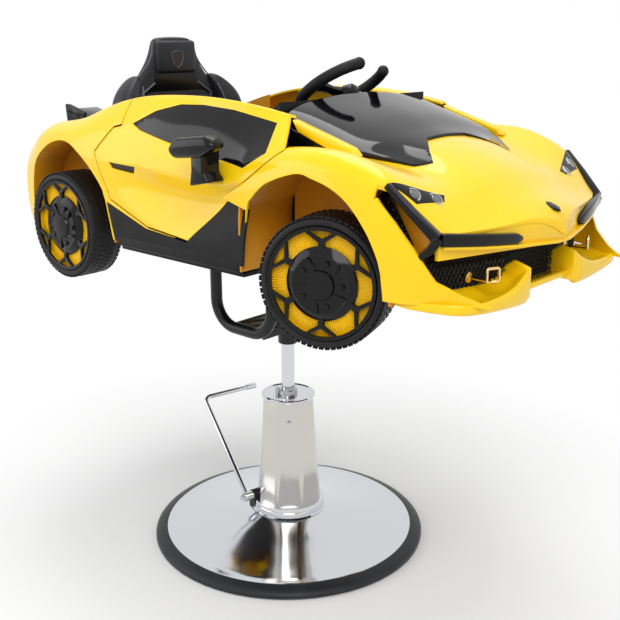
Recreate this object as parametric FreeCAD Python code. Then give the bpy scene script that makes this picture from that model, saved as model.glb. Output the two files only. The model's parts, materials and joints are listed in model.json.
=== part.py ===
import FreeCAD, Part
import math
import os

V = FreeCAD.Vector
os.makedirs("parts", exist_ok=True)

# Kids car barber chair: a ride-on car body on a hydraulic pump with a round base.
# Lengths are in mm and angles in degrees. The origin is the centre of the base on the floor,
# +X is the car's forward direction, +Y its left side, +Z is up.

# Base and pump cover
BASE_D = 600.0
RING_W = 26.0
RING_H = 20.0
RING_WALL = 5.0
DISC_T = 3.0
DISC_RIM_W = 13.0
DISC_RIM_H = 22.0
DISC_CROWN_H = 58.0
DISC_SAG = 4.0
COLLAR_R = 79.0
COLLAR_H = 22.0
COVER_T = 2.5
COVER_FOOT_R = 72.0
COVER_TOP_R = 56.0
COVER_H = 240.0
COVER_FLAT = 0.955
CAP_T = 5.0
CAP_LIP = 1.6
FACET_COUNT = 8

# Pump, piston and pedal
CASTING_R = 66.0
CASTING_T = 12.0
CYL_R = 33.0
CYL_BORE_R = 27.0
PISTON_L = 24.0
ROD_R = 14.3
ROD_SHOWN = 115.0
LIFT_UP = 45.0
LIFT_DOWN = 100.0
GLAND_R = 20.0
GLAND_H = 7.0
VALVE_R = 5.0
PUMP_YAW = -12.0
PEDAL_SHAFT_R = 6.0
PEDAL_SHAFT_X = -34.0
PEDAL_SHAFT_Z = 86.0
PEDAL_SIDE = 88.0
PEDAL_ROD_R = 5.6
PEDAL_REACH = 184.0
PEDAL_RISE = 177.0
PEDAL_BEND_R = 16.0
FOOT_BAR_L = 140.0
SLEEVE_L = 24.0
SLEEVE_R = 7.2
PEDAL_HUB_R = 10.0
PEDAL_HUB_L = 22.0
BRACKET_R = 12.0
CAM_L = 14.0
CAM_R = 4.0
PLUNGER_R = 6.0
PLUNGER_L = 12.0

# Frame under the car
HUB_R = 21.0
HUB_L = 47.0
HUB_FLANGE_R = 38.0
HUB_FLANGE_T = 6.0
PLATE_HALF_L = 45.0
PLATE_T = 8.0
PLATE_LIP = 18.0
TUBE_R = 12.0
TUBE_WALL = 2.0
TUBE_HALF_SPAN = 80.0
TUBE_Y = 130.0
TUBE_BEND_R = 55.0
TUBE_RISE = 164.4
FOOT_PAD = 56.0
FOOT_PAD_T = 5.0
BOLT_R = 4.0
BOLT_HEAD_R = 6.5
BOLT_HEAD_H = 5.0

# Car: overall places
HALF_L = 600.0
HALF_W = 300.0
BODY_H = 300.0
SILL_RISE = 8.0
WALL = 4.0
SHUT_GAP = 4.0
AXLE_RISE = 20.0
REAR_AXLE_X = -385.5
KINGPIN_X = 315.0
KINGPIN_Y = 195.0

# Wheels
TYRE_R = 113.0
TYRE_W = 77.0
TYRE_SHOULDER = 12.0
RIM_R = 96.6
WHEEL_FACE_Y = 290.0
DISC_DEPTH = 14.0
DISC_PLATE_T = 4.0
BARREL_T = 4.0
WHEEL_HUB_R = 18.0
AXLE_R = 7.0
COVER_DOME_R = 63.0
COVER_DOME_H = 16.0
COVER_PLATE_T = 4.0
SPOKE_W = 11.0
FORK_W = 7.0
SPOKE_COUNT = 6
FORK_SPREAD = 17.0
FORK_SPLIT_SHARE = 0.76
RIM_LIP = 4.0
NUT_R = 9.0
NUT_H = 6.0
RIB_COUNT = 24

# Steering
STEER_REST = 19.5
WHEEL_TURN_REST = 17.25
STEER_TILT = 57.5
STEER_WHEEL_X = 147.0
STEER_WHEEL_RISE = 318.0
STEER_RING_R = 87.0
STEER_BAR_R = 10.5
STEER_GAP = 40.0
STEER_SPOKE = 100.0
STEER_BOSS_R = 27.0
STEER_BOSS_H = 30.0
STEER_SHAFT_R = 6.0
CRANK_PIN_RISE = 37.0
KNUCKLE_ARM = 34.0
KNUCKLE_R = 14.0
KNUCKLE_H = 26.0
KINGPIN_R = 6.0
TIE_W = 24.0
TIE_T = 5.0
TIE_PIN_R = 4.0

# Tub that the body, wheels and frame bolt to
TUB_TAIL_X = -500.0
TUB_STEP_X = -184.0
TUB_FRONT_X = 165.0
TUB_NOSE_X = 470.0
TUB_REAR_HALF = 195.0
TUB_HALF = 285.0
TUB_FRONT_HALF = 165.0
WELL_HALF = 207.0
WELL_RISE = 132.0
WELL_REAR_X = -356.0
FOOTWELL_X = 244.0
SILL_BOX_HALF = 256.0
SILL_BOX_H = 30.0
LUG_Y = 150.0
LUG_T = 8.0
LUG_RISE = 60.0
BEAM_W = 30.0
BEAM_H = 32.0
BEAM_END = 17.0
LUG_PLATE_T = 6.5
LUG_REACH = 13.0
BEARING_W = 60.0
BEARING_H = 60.0
BEARING_GAP_W = 48.0

# Body openings and fittings
COCKPIT_FRONT_X = 190.0
COCKPIT_HALF = 214.0
BEAM_OPENING_X = 62.0
BEAM_OPENING_Z = 60.0
PILLAR_IN = 211.5
PILLAR_OUT = 232.0
SCREEN_GAP = 0.5
DASH_DROP = 36.0
DASH_DEPTH = 60.0
DASH_HALF = 211.0
DASH_BACK_X = 96.0
DASH_FRONT_X = 185.0
DIAL_R = 15.0
DIAL_LIP = 3.0
DIAL_H = 4.0
DIAL_GAP = 35.0
HINGE_X = 215.0
HINGE_Y = 283.0
HINGE_R = 4.0
HINGE_BOSS_R = 7.0
HINGE_BOSS_H = 14.0
HINGE_RISE = 196.0
HINGE_NOTCH = 8.0
WINDOW_INSET = 1.5
MIRROR_Y = 340.0
MIRROR_T = 36.0
MIRROR_EDGE = 7.0
STALK_T = 20.0

# Seat
SEAT_BASE_X = -90.0
SEAT_HALF = 176.0
SEAT_BASE_H = 92.0
SEAT_CROWN = 10.0
SEAT_BACK_T = 46.0
SEAT_DECK_ROW = 4

# Nose parts
SPLITTER_T = 8.0
FIN_T = 7.0
MESH_T = 4.0
MESH_SLOT = 9.0
MESH_WIDE = 16.0
MESH_BAR = 4.0
TRIM_W = 14.0
TRIM_H = 9.0
RING_BAR_R = 2.5
TOW_R = 11.0
TOW_FOOT_L = 48.0
LAMP_R = 11.0
LAMP_H = 10.0
LAMP_SINK = 7.0

# Tail parts
REAR_FIN_IN = 112.0
REAR_FIN_OUT = 190.0
TAIL_LAMP_W = 90.0
TAIL_LAMP_H = 14.0
TAIL_LAMP_T = 6.0
DIFFUSER_HALF = 180.0
DIFFUSER_H = 46.0
DIFFUSER_L = 48.0
DIFFUSER_FINS = 5

# Clearances
FIT = 0.05
WHEEL_PLAY = 0.3
RIB_TURN = 5.0
SLIDE_GAP = 0.4
PANEL_GAP = 1.0
OVER = 5.0
MITRE_SHARE = 0.5

# Stations of the body from tail to nose. Each row is the place along the car, then the near
# half of the section from the sill up and in to the centre line, as shares of half the car's
# length, half its width and its height above the sill.
cabin_shares = (
    (-0.920, (0.860, 0.047), (0.873, 0.163), (0.873, 0.297), (0.860, 0.413), (0.817, 0.520),
     (0.750, 0.580), (0.617, 0.600), (0.0, 0.647)),
    (-0.865, (0.887, 0.040), (0.900, 0.163), (0.900, 0.313), (0.893, 0.463), (0.853, 0.573),
     (0.773, 0.633), (0.633, 0.653), (0.0, 0.707)),
    (-0.800, (0.920, 0.040), (0.933, 0.180), (0.937, 0.347), (0.933, 0.513), (0.893, 0.640),
     (0.800, 0.700), (0.650, 0.713), (0.0, 0.773)),
    (-0.717, (0.947, 0.040), (0.953, 0.193), (0.957, 0.380), (0.957, 0.580), (0.913, 0.687),
     (0.820, 0.747), (0.667, 0.753), (0.0, 0.820)),
    (-0.577, (0.973, 0.030), (0.977, 0.200), (0.977, 0.413), (0.977, 0.607), (0.933, 0.713),
     (0.833, 0.780), (0.707, 0.793), (0.0, 0.850)),
    (-0.483, (0.983, 0.020), (0.990, 0.200), (0.990, 0.400), (0.990, 0.587), (0.940, 0.723),
     (0.827, 0.840), (0.713, 0.847), (0.0, 0.860)),
    (-0.385, (0.987, 0.020), (0.993, 0.200), (0.995, 0.400), (0.997, 0.573), (0.933, 0.737),
     (0.810, 0.900), (0.713, 0.907), (0.0, 0.860)),
    (-0.257, (0.985, 0.050), (0.993, 0.300), (0.975, 0.430), (1.000, 0.553), (0.920, 0.763),
     (0.800, 0.947), (0.713, 0.953), (0.0, 0.860)),
    (-0.103, (0.980, 0.060), (0.990, 0.190), (0.893, 0.400), (1.000, 0.540), (0.945, 0.723),
     (0.793, 0.967), (0.710, 0.970), (0.0, 0.860)),
    (0.072, (0.985, 0.050), (0.993, 0.170), (0.873, 0.380), (0.997, 0.500), (0.940, 0.680),
     (0.787, 0.967), (0.707, 0.967), (0.0, 0.860)),
    (0.235, (0.985, 0.050), (0.990, 0.220), (0.920, 0.420), (0.993, 0.520), (0.945, 0.650),
     (0.780, 0.940), (0.703, 0.940), (0.0, 0.860)),
    (0.342, (0.990, 0.050), (0.993, 0.300), (0.980, 0.450), (0.993, 0.580), (0.957, 0.690),
     (0.773, 0.913), (0.700, 0.913), (0.0, 0.860)),
    (0.437, (0.990, 0.050), (1.000, 0.350), (1.000, 0.500), (1.000, 0.600), (0.967, 0.713),
     (0.767, 0.880), (0.697, 0.880), (0.0, 0.860)),
)
nose_shares = (
    (0.205, (0.990, 0.050), (0.995, 0.300), (0.993, 0.420), (0.985, 0.500), (0.955, 0.560),
     (0.900, 0.600), (0.600, 0.600), (0.0, 0.600)),
    (0.310, (0.993, 0.050), (1.000, 0.350), (1.000, 0.480), (0.987, 0.580), (0.933, 0.653),
     (0.850, 0.680), (0.600, 0.680), (0.0, 0.680)),
    (0.400, (1.000, 0.050), (1.007, 0.400), (1.007, 0.580), (0.973, 0.687), (0.893, 0.747),
     (0.773, 0.727), (0.600, 0.713), (0.0, 0.720)),
    (0.525, (1.010, 0.050), (1.017, 0.400), (1.017, 0.620), (0.990, 0.720), (0.893, 0.773),
     (0.717, 0.723), (0.500, 0.740), (0.0, 0.757)),
    (0.628, (1.010, 0.050), (1.017, 0.400), (1.013, 0.587), (0.993, 0.687), (0.893, 0.770),
     (0.653, 0.687), (0.383, 0.753), (0.0, 0.783)),
    (0.717, (1.010, 0.050), (1.013, 0.350), (1.010, 0.497), (0.987, 0.640), (0.887, 0.723),
     (0.550, 0.640), (0.327, 0.710), (0.0, 0.737)),
    (0.797, (1.000, 0.040), (1.010, 0.250), (1.000, 0.463), (0.960, 0.600), (0.860, 0.643),
     (0.527, 0.597), (0.300, 0.650), (0.0, 0.677)),
    (0.867, (0.967, 0.040), (0.973, 0.200), (0.943, 0.397), (0.913, 0.473), (0.793, 0.510),
     (0.493, 0.540), (0.280, 0.583), (0.0, 0.607)),
    (0.927, (0.893, 0.040), (0.893, 0.200), (0.867, 0.330), (0.857, 0.370), (0.750, 0.403),
     (0.467, 0.453), (0.253, 0.497), (0.0, 0.520)),
    (0.997, (0.800, 0.040), (0.800, 0.200), (0.800, 0.270), (0.790, 0.307), (0.683, 0.330),
     (0.433, 0.380), (0.233, 0.430), (0.0, 0.457)),
    (1.030, (0.770, 0.040), (0.770, 0.150), (0.770, 0.250), (0.760, 0.280), (0.660, 0.300),
     (0.417, 0.330), (0.227, 0.373), (0.0, 0.397)),
    (1.053, (0.750, 0.040), (0.750, 0.150), (0.750, 0.235), (0.740, 0.245), (0.640, 0.255),
     (0.400, 0.270), (0.220, 0.283), (0.0, 0.290)),
)

# Outlines in side view, as shares of half the car's length and of its height above the sill
door_shares = ((-0.308, 0.990), (-0.300, 0.777), (-0.338, 0.760), (-0.400, 0.603), (-0.325, 0.307),
               (-0.142, 0.173), (0.052, 0.137), (0.220, 0.450), (0.317, 0.570), (0.430, 0.740),
               (0.347, 0.990))
window_shares = ((-0.250, 0.797), (-0.158, 0.885), (-0.058, 0.932), (0.042, 0.938), (0.167, 0.922),
                 (0.350, 0.868), (0.368, 0.715), (0.287, 0.618), (0.150, 0.653), (-0.053, 0.710),
                 (-0.203, 0.763))
rear_arch_shares = ((-0.865, -0.100), (-0.862, 0.147), (-0.825, 0.423), (-0.733, 0.570),
                    (-0.647, 0.637), (-0.560, 0.633), (-0.468, 0.543), (-0.402, 0.437),
                    (-0.357, 0.293), (-0.317, -0.100))
front_arch_shares = ((0.290, -0.100), (0.293, 0.100), (0.318, 0.403), (0.338, 0.467),
                     (0.385, 0.547), (0.452, 0.603), (0.522, 0.637), (0.568, 0.620),
                     (0.628, 0.587), (0.687, 0.523), (0.738, 0.423), (0.773, 0.323),
                     (0.800, 0.183), (0.810, -0.100))
skirt_shares = ((-0.347, 0.277), (-0.317, 0.023), (-0.267, 0.013), (0.288, 0.013), (0.293, 0.100),
                (0.310, 0.385), (0.213, 0.430), (0.045, 0.120), (-0.150, 0.150))

window_vent_shares = ((-0.323, 0.550), (-0.309, 0.513), (-0.205, 0.493), (-0.188, 0.542))
front_liner_shares = ((0.283, -0.020), (0.283, 0.340), (0.302, 0.440), (0.350, 0.550), (0.430, 0.640),
                      (0.522, 0.672), (0.620, 0.640), (0.710, 0.540), (0.775, 0.400), (0.812, 0.200),
                      (0.822, -0.020))
mouth_shares = ((0.790, 0.540), (0.917, 0.307), (1.100, 0.307), (1.100, -0.070), (0.853, -0.070),
                (0.870, 0.160), (0.887, 0.240))
pillar_shares = ((0.330, 0.930), (0.360, 0.905), (0.600, 0.762), (0.625, 0.718), (0.560, 0.712),
                 (0.345, 0.865))
pane_shares = ((0.352, 0.862), (0.380, 0.715), (0.556, 0.705))
mirror_shares = ((0.082, 0.713), (0.119, 0.783), (0.255, 0.813), (0.290, 0.753), (0.223, 0.687),
                 (0.107, 0.660))
stalk_shares = ((0.135, 0.500), (0.218, 0.537), (0.203, 0.600), (0.205, 0.720), (0.135, 0.720),
                (0.150, 0.600))
rear_fin_shares = ((-0.812, 0.690), (-0.820, 0.817), (-0.795, 0.817), (-0.703, 0.770), (-0.700, 0.740))
nose_fin_shares = ((0.850, 0.000), (0.880, 0.060), (0.970, 0.183), (1.020, 0.153), (1.020, -0.020),
                   (0.900, -0.020))

# Small parts of the nose and tail. A point in space has shares of half length, half width and
# height; a point in plan has the first two.
splitter_ear_shares = ((0.812, 0.010), (0.870, 0.080), (0.925, 0.060), (1.005, 0.010))
splitter_ear_y_share = 0.857
splitter_stay_shares = (0.275, 0.550)
splitter_stay_x_share = 0.875
mesh_corner_share = (0.872, 0.800)
mesh_inner_x_share = 0.945
mesh_top_share = 0.285
intake_shares = ((0.838, 0.890), (0.888, 0.860))
intake_height_shares = (0.200, 0.400)
trim_top_share = (0.792, 0.935, 0.625)
trim_joint_share = (0.925, 0.850, 0.370)
trim_foot_share = (0.880, 0.905, 0.262)
trim_inner_share = (1.004, 0.317, 0.315)
lamp_shares = ((0.833, 0.833, 0.572), (0.856, 0.707, 0.536))
lamp_axis_shares = (0.69, 0.25, 0.72)
tow_share = (0.985, 0.530, 0.150)
tow_axis_shares = (1.0, 0.5, 0.0)
tail_lamp_share = (0.800, 0.420)

# Where the rear body ends ahead of the doors, and the span of the panels inside the arches,
# as shares of half the length
rear_body_front_share = 0.045
rear_panel_shares = (-0.90, -0.50)
front_panel_shares = (0.27, 0.82)

# Leading edge of the nose, splitter and windscreen in plan, as shares of half length and half width
edge_plan_shares = ((0.769, 0.960), (0.923, 0.850), (1.045, 0.000))
splitter_plan_shares = ((0.812, 0.960), (0.870, 0.945), (1.008, 0.857), (1.020, 0.260), (0.985, 0.110),
                        (0.985, 0.000))
splitter_back_shares = ((0.870, 0.0), (0.860, 0.500), (0.812, 0.800))
screen_plan_shares = ((0.313, 0.683), (0.585, 0.700), (0.713, 0.500), (0.738, 0.390), (0.697, 0.313),
                      (0.645, 0.190), (0.645, 0.000))
screen_shares = (
    (0.313, (0.683, 0.905), (0.600, 0.943), (0.333, 0.983), (0.0, 1.000)),
    (0.370, (0.690, 0.873), (0.600, 0.918), (0.333, 0.950), (0.0, 0.965)),
    (0.500, (0.700, 0.795), (0.600, 0.838), (0.333, 0.875), (0.0, 0.890)),
    (0.585, (0.700, 0.743), (0.600, 0.775), (0.333, 0.810), (0.0, 0.825)),
    (0.645, (0.620, 0.707), (0.500, 0.727), (0.300, 0.770), (0.0, 0.790)),
    (0.738, (0.550, 0.640), (0.430, 0.658), (0.250, 0.715), (0.0, 0.730)),
)

# Seat back: height over the floor as a share of the body height, half width, front face and how
# far the side bolsters stand forward, as shares of half the width and half the length
seat_shares = (
    (0.20, 0.540, -0.500, 0.030), (0.45, 0.590, -0.505, 0.055), (0.75, 0.600, -0.535, 0.070),
    (0.91, 0.595, -0.555, 0.065), (0.975, 0.550, -0.563, 0.050), (1.075, 0.425, -0.573, 0.025),
    (1.19, 0.272, -0.583, 0.012), (1.30, 0.228, -0.590, 0.008), (1.345, 0.185, -0.598, 0.004),
)


def move(shape, x=0.0, y=0.0, z=0.0):
    moved = shape.copy()
    moved.translate(V(x, y, z))
    return moved


def turn(shape, angle, axis=V(0, 0, 1), centre=V(0, 0, 0)):
    turned = shape.copy()
    turned.rotate(centre, axis, angle)
    return turned


def mirrored(shape):
    return shape.mirror(V(0, 0, 0), V(0, 1, 0))


def cylinder(radius, height, at=V(0, 0, 0), axis=V(0, 0, 1)):
    return Part.makeCylinder(radius, height, at, axis)


def tube(outer, inner, height, at=V(0, 0, 0), axis=V(0, 0, 1)):
    step = V(axis).normalize() * OVER
    core = cylinder(inner, height + 2 * OVER, at - step, axis)
    return cylinder(outer, height, at, axis).cut(core)


def block(x0, x1, y0, y1, z0, z1):
    return Part.makeBox(x1 - x0, y1 - y0, z1 - z0, V(x0, y0, z0))


def plate(points, along):
    """Flat polygon pulled along a vector."""
    return Part.Face(Part.makePolygon(list(points) + [points[0]])).extrude(along)


def lathe(profile, axis=V(0, 0, 1)):
    """Closed radius and height outline turned about the Z axis."""
    points = [V(r, 0, z) for r, z in profile]
    return Part.Face(Part.makePolygon(points + [points[0]])).revolve(V(0, 0, 0), axis, 360)


def bent_path(points, radius):
    """Straight runs through the points, joined by tangent arcs."""
    edges = []
    start = points[0]
    for before, corner, after in zip(points, points[1:], points[2:]):
        back = (before - corner).normalize()
        on = (after - corner).normalize()
        half = back.getAngle(on) / 2
        reach = radius / math.tan(half)
        p, q = corner + back * reach, corner + on * reach
        middle = (back + on).normalize()
        top = corner + middle * (radius / math.sin(half) - radius)
        edges.append(Part.LineSegment(start, p).toShape())
        edges.append(Part.Arc(p, top, q).toShape())
        start = q
    edges.append(Part.LineSegment(start, points[-1]).toShape())
    return Part.Wire(edges)


def bar(points, bend, radius):
    """Round bar along a bent path."""
    path = bent_path(points, bend)
    first = (points[1] - points[0]).normalize()
    ring = Part.Wire([Part.Circle(points[0], first, radius).toShape()])
    return path.makePipeShell([ring], True, False)


def fuse(shapes):
    whole = shapes[0].fuse(shapes[1]) if len(shapes) == 2 else shapes[0].multiFuse(shapes[1:])
    return whole.removeSplitter()


def save(name, shapes):
    group = shapes if isinstance(shapes, list) else [shapes]
    solids = [solid for shape in group for solid in shape.Solids]
    made = solids[0] if len(solids) == 1 else Part.makeCompound(solids)
    made.exportStep("parts/" + name + ".step")
    for solid in solids:
        if not solid.isValid() or solid.Volume <= 0:
            print("bad solid in", name)
    box = made.BoundBox
    print(name, len(solids), round(made.Volume), [round(v) for v in (
        box.XMin, box.XMax, box.YMin, box.YMax, box.ZMin, box.ZMax)],
        [round(solid.Volume) for solid in solids][:6])


# Heights that follow from the stack of pump, frame and car
CROWN_Z = DISC_CROWN_H
COVER_Z = CROWN_Z + COLLAR_H
CAP_Z = COVER_Z + COVER_H
CAP_TOP = CAP_Z + CAP_T + CAP_LIP
HUB_Z = CAP_TOP + ROD_SHOWN
PLATE_Z = HUB_Z + HUB_L + HUB_FLANGE_T
TUBE_Z = PLATE_Z + PLATE_T / 2
FLOOR_Z = TUBE_Z + TUBE_RISE + FOOT_PAD_T
SILL_Z = FLOOR_Z + SILL_RISE
AXLE_Z = FLOOR_Z + AXLE_RISE


def body_point(x_share, y_share, z_share, side=-1):
    return V(HALF_L * x_share, side * HALF_W * y_share, SILL_Z + BODY_H * z_share)


def side_prism(outline, side, depth=1.0):
    """Side-view outline pulled through one side of the car."""
    points = [body_point(x, 0, z) for x, z in outline]
    return plate(points, V(0, side * HALF_W * (1 + depth), 0))


def smooth_prism(outline, side):
    """Side-view outline as a smooth arch, closed below, pulled through one side."""
    points = [body_point(x, 0, z) for x, z in outline]
    curve = Part.BSplineCurve()
    curve.interpolate(points)
    edges = [curve.toShape(), Part.LineSegment(points[-1], points[0]).toShape()]
    return Part.Face(Part.Wire(edges)).extrude(V(0, side * HALF_W * 2, 0))


def inset_section(points, depth):
    """The same section with each run moved inwards by the depth."""
    moved = []
    count = len(points)
    for i, point in enumerate(points):
        normals = []
        for a, b in ((i - 1, i), (i, i + 1)):
            if a >= 0 and b < count:
                run = points[b] - points[a]
                normals.append(V(0, run.z, -run.y).normalize())
        mean = (normals[0] + normals[-1]).normalize()
        reach = depth / max(mean.dot(normals[0]), MITRE_SHARE)
        moved.append(point + mean * reach)
    return moved


def skin(rows, wall):
    """Shell of even wall, lofted through the stations."""
    wires = []
    for row in rows:
        near = [body_point(row[0], y, z) for y, z in row[1:]]
        far = [V(p.x, -p.y, p.z) for p in reversed(near[:-1])]
        outer = near + far
        inner = inset_section(outer, wall)
        loop = outer + list(reversed(inner))
        wires.append(Part.makePolygon(loop + [loop[0]]))
    return Part.makeLoft(wires, True, True)


# Base
RING_R = BASE_D / 2
DISC_R = RING_R - RING_W


def make_base(bolts):
    ring = lathe([(DISC_R - RING_WALL, 0), (RING_R, 0), (RING_R, RING_H * 0.55),
                  (RING_R - RING_WALL, RING_H * 0.85), (DISC_R + RING_WALL / 2, RING_H),
                  (DISC_R, RING_H), (DISC_R, RING_H - RING_WALL), (DISC_R - RING_WALL, RING_H - RING_WALL)])
    rim_in = DISC_R - DISC_RIM_W
    run = (rim_in - COLLAR_R) / 2
    mid_r = COLLAR_R + run
    mid_z = (DISC_RIM_H + CROWN_Z) / 2 - DISC_SAG
    top = [(DISC_R, RING_H), (DISC_R, DISC_RIM_H), (rim_in, DISC_RIM_H),
           (mid_r, mid_z), (COLLAR_R, CROWN_Z), (0, CROWN_Z)]
    under = [(r, z - DISC_T) for r, z in reversed(top[2:])]
    lip = [(DISC_R - RING_WALL, RING_H - RING_WALL), (DISC_R, RING_H - RING_WALL)]
    disc = lathe(top + under + lip)
    save("base_ring", ring)
    save("base_disc", disc.cut(bolts))
    collar = lathe([(0, CROWN_Z), (COLLAR_R, CROWN_Z), (COLLAR_R - CAP_LIP, CROWN_Z + COLLAR_H * 0.6),
                    (COVER_FOOT_R + CAP_LIP, CROWN_Z + COLLAR_H * 0.75),
                    (COVER_FOOT_R + CAP_LIP, COVER_Z), (CASTING_R + CAP_LIP, COVER_Z),
                    (CASTING_R + CAP_LIP, CROWN_Z + CAP_T), (0, CROWN_Z + CAP_T)])
    save("base_collar", collar.cut(bolts))


def cover_form(shrink, low, high):
    """Round taper with eight flats, between two heights."""
    def radius(z):
        share = (z - COVER_Z) / COVER_H
        return COVER_FOOT_R + (COVER_TOP_R - COVER_FOOT_R) * share - shrink
    cone = Part.makeCone(radius(low), radius(high), high - low, V(0, 0, low))
    rings = []
    for z in (low, high):
        corner = radius(z) * COVER_FLAT / math.cos(math.pi / FACET_COUNT)
        spots = [V(corner * math.cos(a), corner * math.sin(a), z)
                 for a in (2 * math.pi * (i + 0.5) / FACET_COUNT for i in range(FACET_COUNT))]
        rings.append(Part.makePolygon(spots + [spots[0]]))
    return cone.common(Part.makeLoft(rings, True, True))


def pump_frame(shape):
    return turn(shape, PUMP_YAW)


CASTING_Z = CROWN_Z + CAP_T
CASTING_TOP = CASTING_Z + CASTING_T
PLUNGER_X = PEDAL_SHAFT_X - CAM_L
PLUNGER_Y = -CYL_R + PISTON_L / 8
PLUNGER_TOP = PEDAL_SHAFT_Z - CAM_R - SLIDE_GAP
PISTON_Z = CASTING_TOP + LIFT_DOWN + SLIDE_GAP * 2
GLAND_DEPTH = GLAND_H * 1.5


BASE_BOLT_COUNT = 4
BASE_BOLT_TURN = 68.0
COVER_SCREW_ANGLES = (-45, 135)


def base_bolt(angle):
    at = V(CASTING_R - BOLT_HEAD_R * 2, 0, CROWN_Z - DISC_T - BOLT_HEAD_H)
    bolt = cylinder(BOLT_R, CASTING_TOP - at.z, at)
    head = cylinder(BOLT_HEAD_R, BOLT_HEAD_H, V(at.x, 0, CASTING_TOP))
    return turn(bolt.fuse(head).removeSplitter(), angle)


def cover_screw(angle):
    z = COVER_Z + COVER_H * 0.82
    face = (COVER_FOOT_R + (COVER_TOP_R - COVER_FOOT_R) * 0.82) * COVER_FLAT
    shank = cylinder(BOLT_R / 2, COVER_T * 2, V(face - COVER_T * 1.6, 0, z), V(1, 0, 0))
    head = cylinder(BOLT_R, COVER_T, V(face + COVER_T * 0.1, 0, z), V(1, 0, 0))
    return turn(shank.fuse(head).removeSplitter(), angle)


def make_pump(bolts):
    screws = [cover_screw(angle) for angle in COVER_SCREW_ANGLES]
    bolt_group = Part.makeCompound(bolts)
    screw_group = Part.makeCompound(screws)
    ring_r = CASTING_R - FIT
    casting = cylinder(ring_r, CASTING_T, V(0, 0, CASTING_Z))
    barrel = cylinder(CYL_R, CAP_Z - CASTING_Z, V(0, 0, CASTING_Z))
    block_r = PLUNGER_R * 1.9
    boss = cylinder(block_r, PLUNGER_TOP - CASTING_Z - CAM_L / 2, V(PLUNGER_X, PLUNGER_Y, CASTING_Z))
    boss = boss.common(cylinder(ring_r, CAP_Z, V(0, 0, CASTING_Z)))
    bore = cylinder(CYL_BORE_R, CAP_Z, V(0, 0, CASTING_TOP))
    well = cylinder(PLUNGER_R + FIT, CAP_Z, V(PLUNGER_X, PLUNGER_Y, CASTING_Z + COVER_T / 2))
    body = fuse([casting, barrel, boss]).cut(bore).cut(well)
    save("pump_cylinder", pump_frame(body).cut(bolt_group))
    cover = cover_form(0, COVER_Z, CAP_Z).cut(cover_form(COVER_T, COVER_Z, CAP_Z))
    opening = cylinder(PEDAL_SHAFT_R * 1.5, COVER_FOOT_R * 2, V(PEDAL_SHAFT_X, 0, PEDAL_SHAFT_Z), V(0, -1, 0))
    slot = block(PEDAL_SHAFT_X - PEDAL_SHAFT_R * 1.5, PEDAL_SHAFT_X + PEDAL_SHAFT_R * 1.5,
                 -COVER_FOOT_R * 2, 0, COVER_Z - OVER, PEDAL_SHAFT_Z)
    cover = cover.cut(pump_frame(opening)).cut(pump_frame(slot)).cut(screw_group)
    save("pump_cover", cover)
    lid_r = COVER_TOP_R + CAP_LIP
    rim = [(GLAND_R + FIT, CAP_Z), (lid_r, CAP_Z), (lid_r, CAP_Z + CAP_T * 0.7),
           (lid_r - CAP_LIP * 2, CAP_TOP), (lid_r - CAP_LIP * 4, CAP_TOP - CAP_LIP),
           (GLAND_R + FIT, CAP_TOP - CAP_LIP)]
    lid = lathe(rim)
    valve_at = V(-(GLAND_R + VALVE_R * 0.6) * math.sin(math.pi / 4),
                 -(GLAND_R + VALVE_R * 0.6) * math.sin(math.pi / 4), CAP_Z)
    valve = cylinder(VALVE_R, CAP_TOP - CAP_Z + GLAND_H * 1.5, valve_at)
    gland = cylinder(GLAND_R, CAP_TOP - CAP_Z + GLAND_H, V(0, 0, CAP_Z))
    sleeve = cylinder(CYL_BORE_R, GLAND_DEPTH, V(0, 0, CAP_Z - GLAND_DEPTH))
    hole = cylinder(ROD_R + FIT, CAP_TOP, V(0, 0, CAP_Z - GLAND_DEPTH - OVER))
    gland = fuse([gland, sleeve, valve]).cut(hole)
    save("cover_cap", lid.cut(gland))
    save("rod_gland", gland)
    save("base_bolts", bolts + screws)
    disc_cut = Part.makeCompound([cover_form(0, CASTING_Z, CAP_Z),
                                  cylinder(COLLAR_R, COLLAR_H, V(0, 0, CROWN_Z))])
    foot = block(PEDAL_SHAFT_X - BRACKET_R, PEDAL_SHAFT_X + BRACKET_R,
                 -PEDAL_SIDE + PEDAL_HUB_L / 2 + SLIDE_GAP, -COVER_FOOT_R / 2,
                 CROWN_Z - DISC_SAG, PEDAL_SHAFT_Z)
    head = cylinder(BRACKET_R, PEDAL_SIDE - PEDAL_HUB_L / 2 - SLIDE_GAP - COVER_FOOT_R / 2,
                    V(PEDAL_SHAFT_X, -COVER_FOOT_R / 2, PEDAL_SHAFT_Z), V(0, -1, 0))
    shaft_hole = cylinder(PEDAL_SHAFT_R + FIT, PEDAL_SIDE * 2,
                          V(PEDAL_SHAFT_X, 0, PEDAL_SHAFT_Z), V(0, -1, 0))
    bracket = pump_frame(fuse([foot, head]).cut(shaft_hole)).cut(disc_cut)
    save("pedal_bracket", bracket.cut(base_disc_form()))
    piston = cylinder(CYL_BORE_R - FIT, PISTON_L, V(0, 0, PISTON_Z))
    rod = cylinder(ROD_R, PLATE_Z - PISTON_Z - SLIDE_GAP, V(0, 0, PISTON_Z))
    save("piston_rod", fuse([piston, rod]))


def base_disc_form():
    """Space under the top of the disc, for seating what stands on it."""
    run = DISC_R - COLLAR_R
    return lathe([(0, 0), (DISC_R, 0), (DISC_R, DISC_RIM_H), (COLLAR_R + run / 2, (DISC_RIM_H + CROWN_Z) / 2),
                  (COLLAR_R, CROWN_Z), (0, CROWN_Z)])


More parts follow.
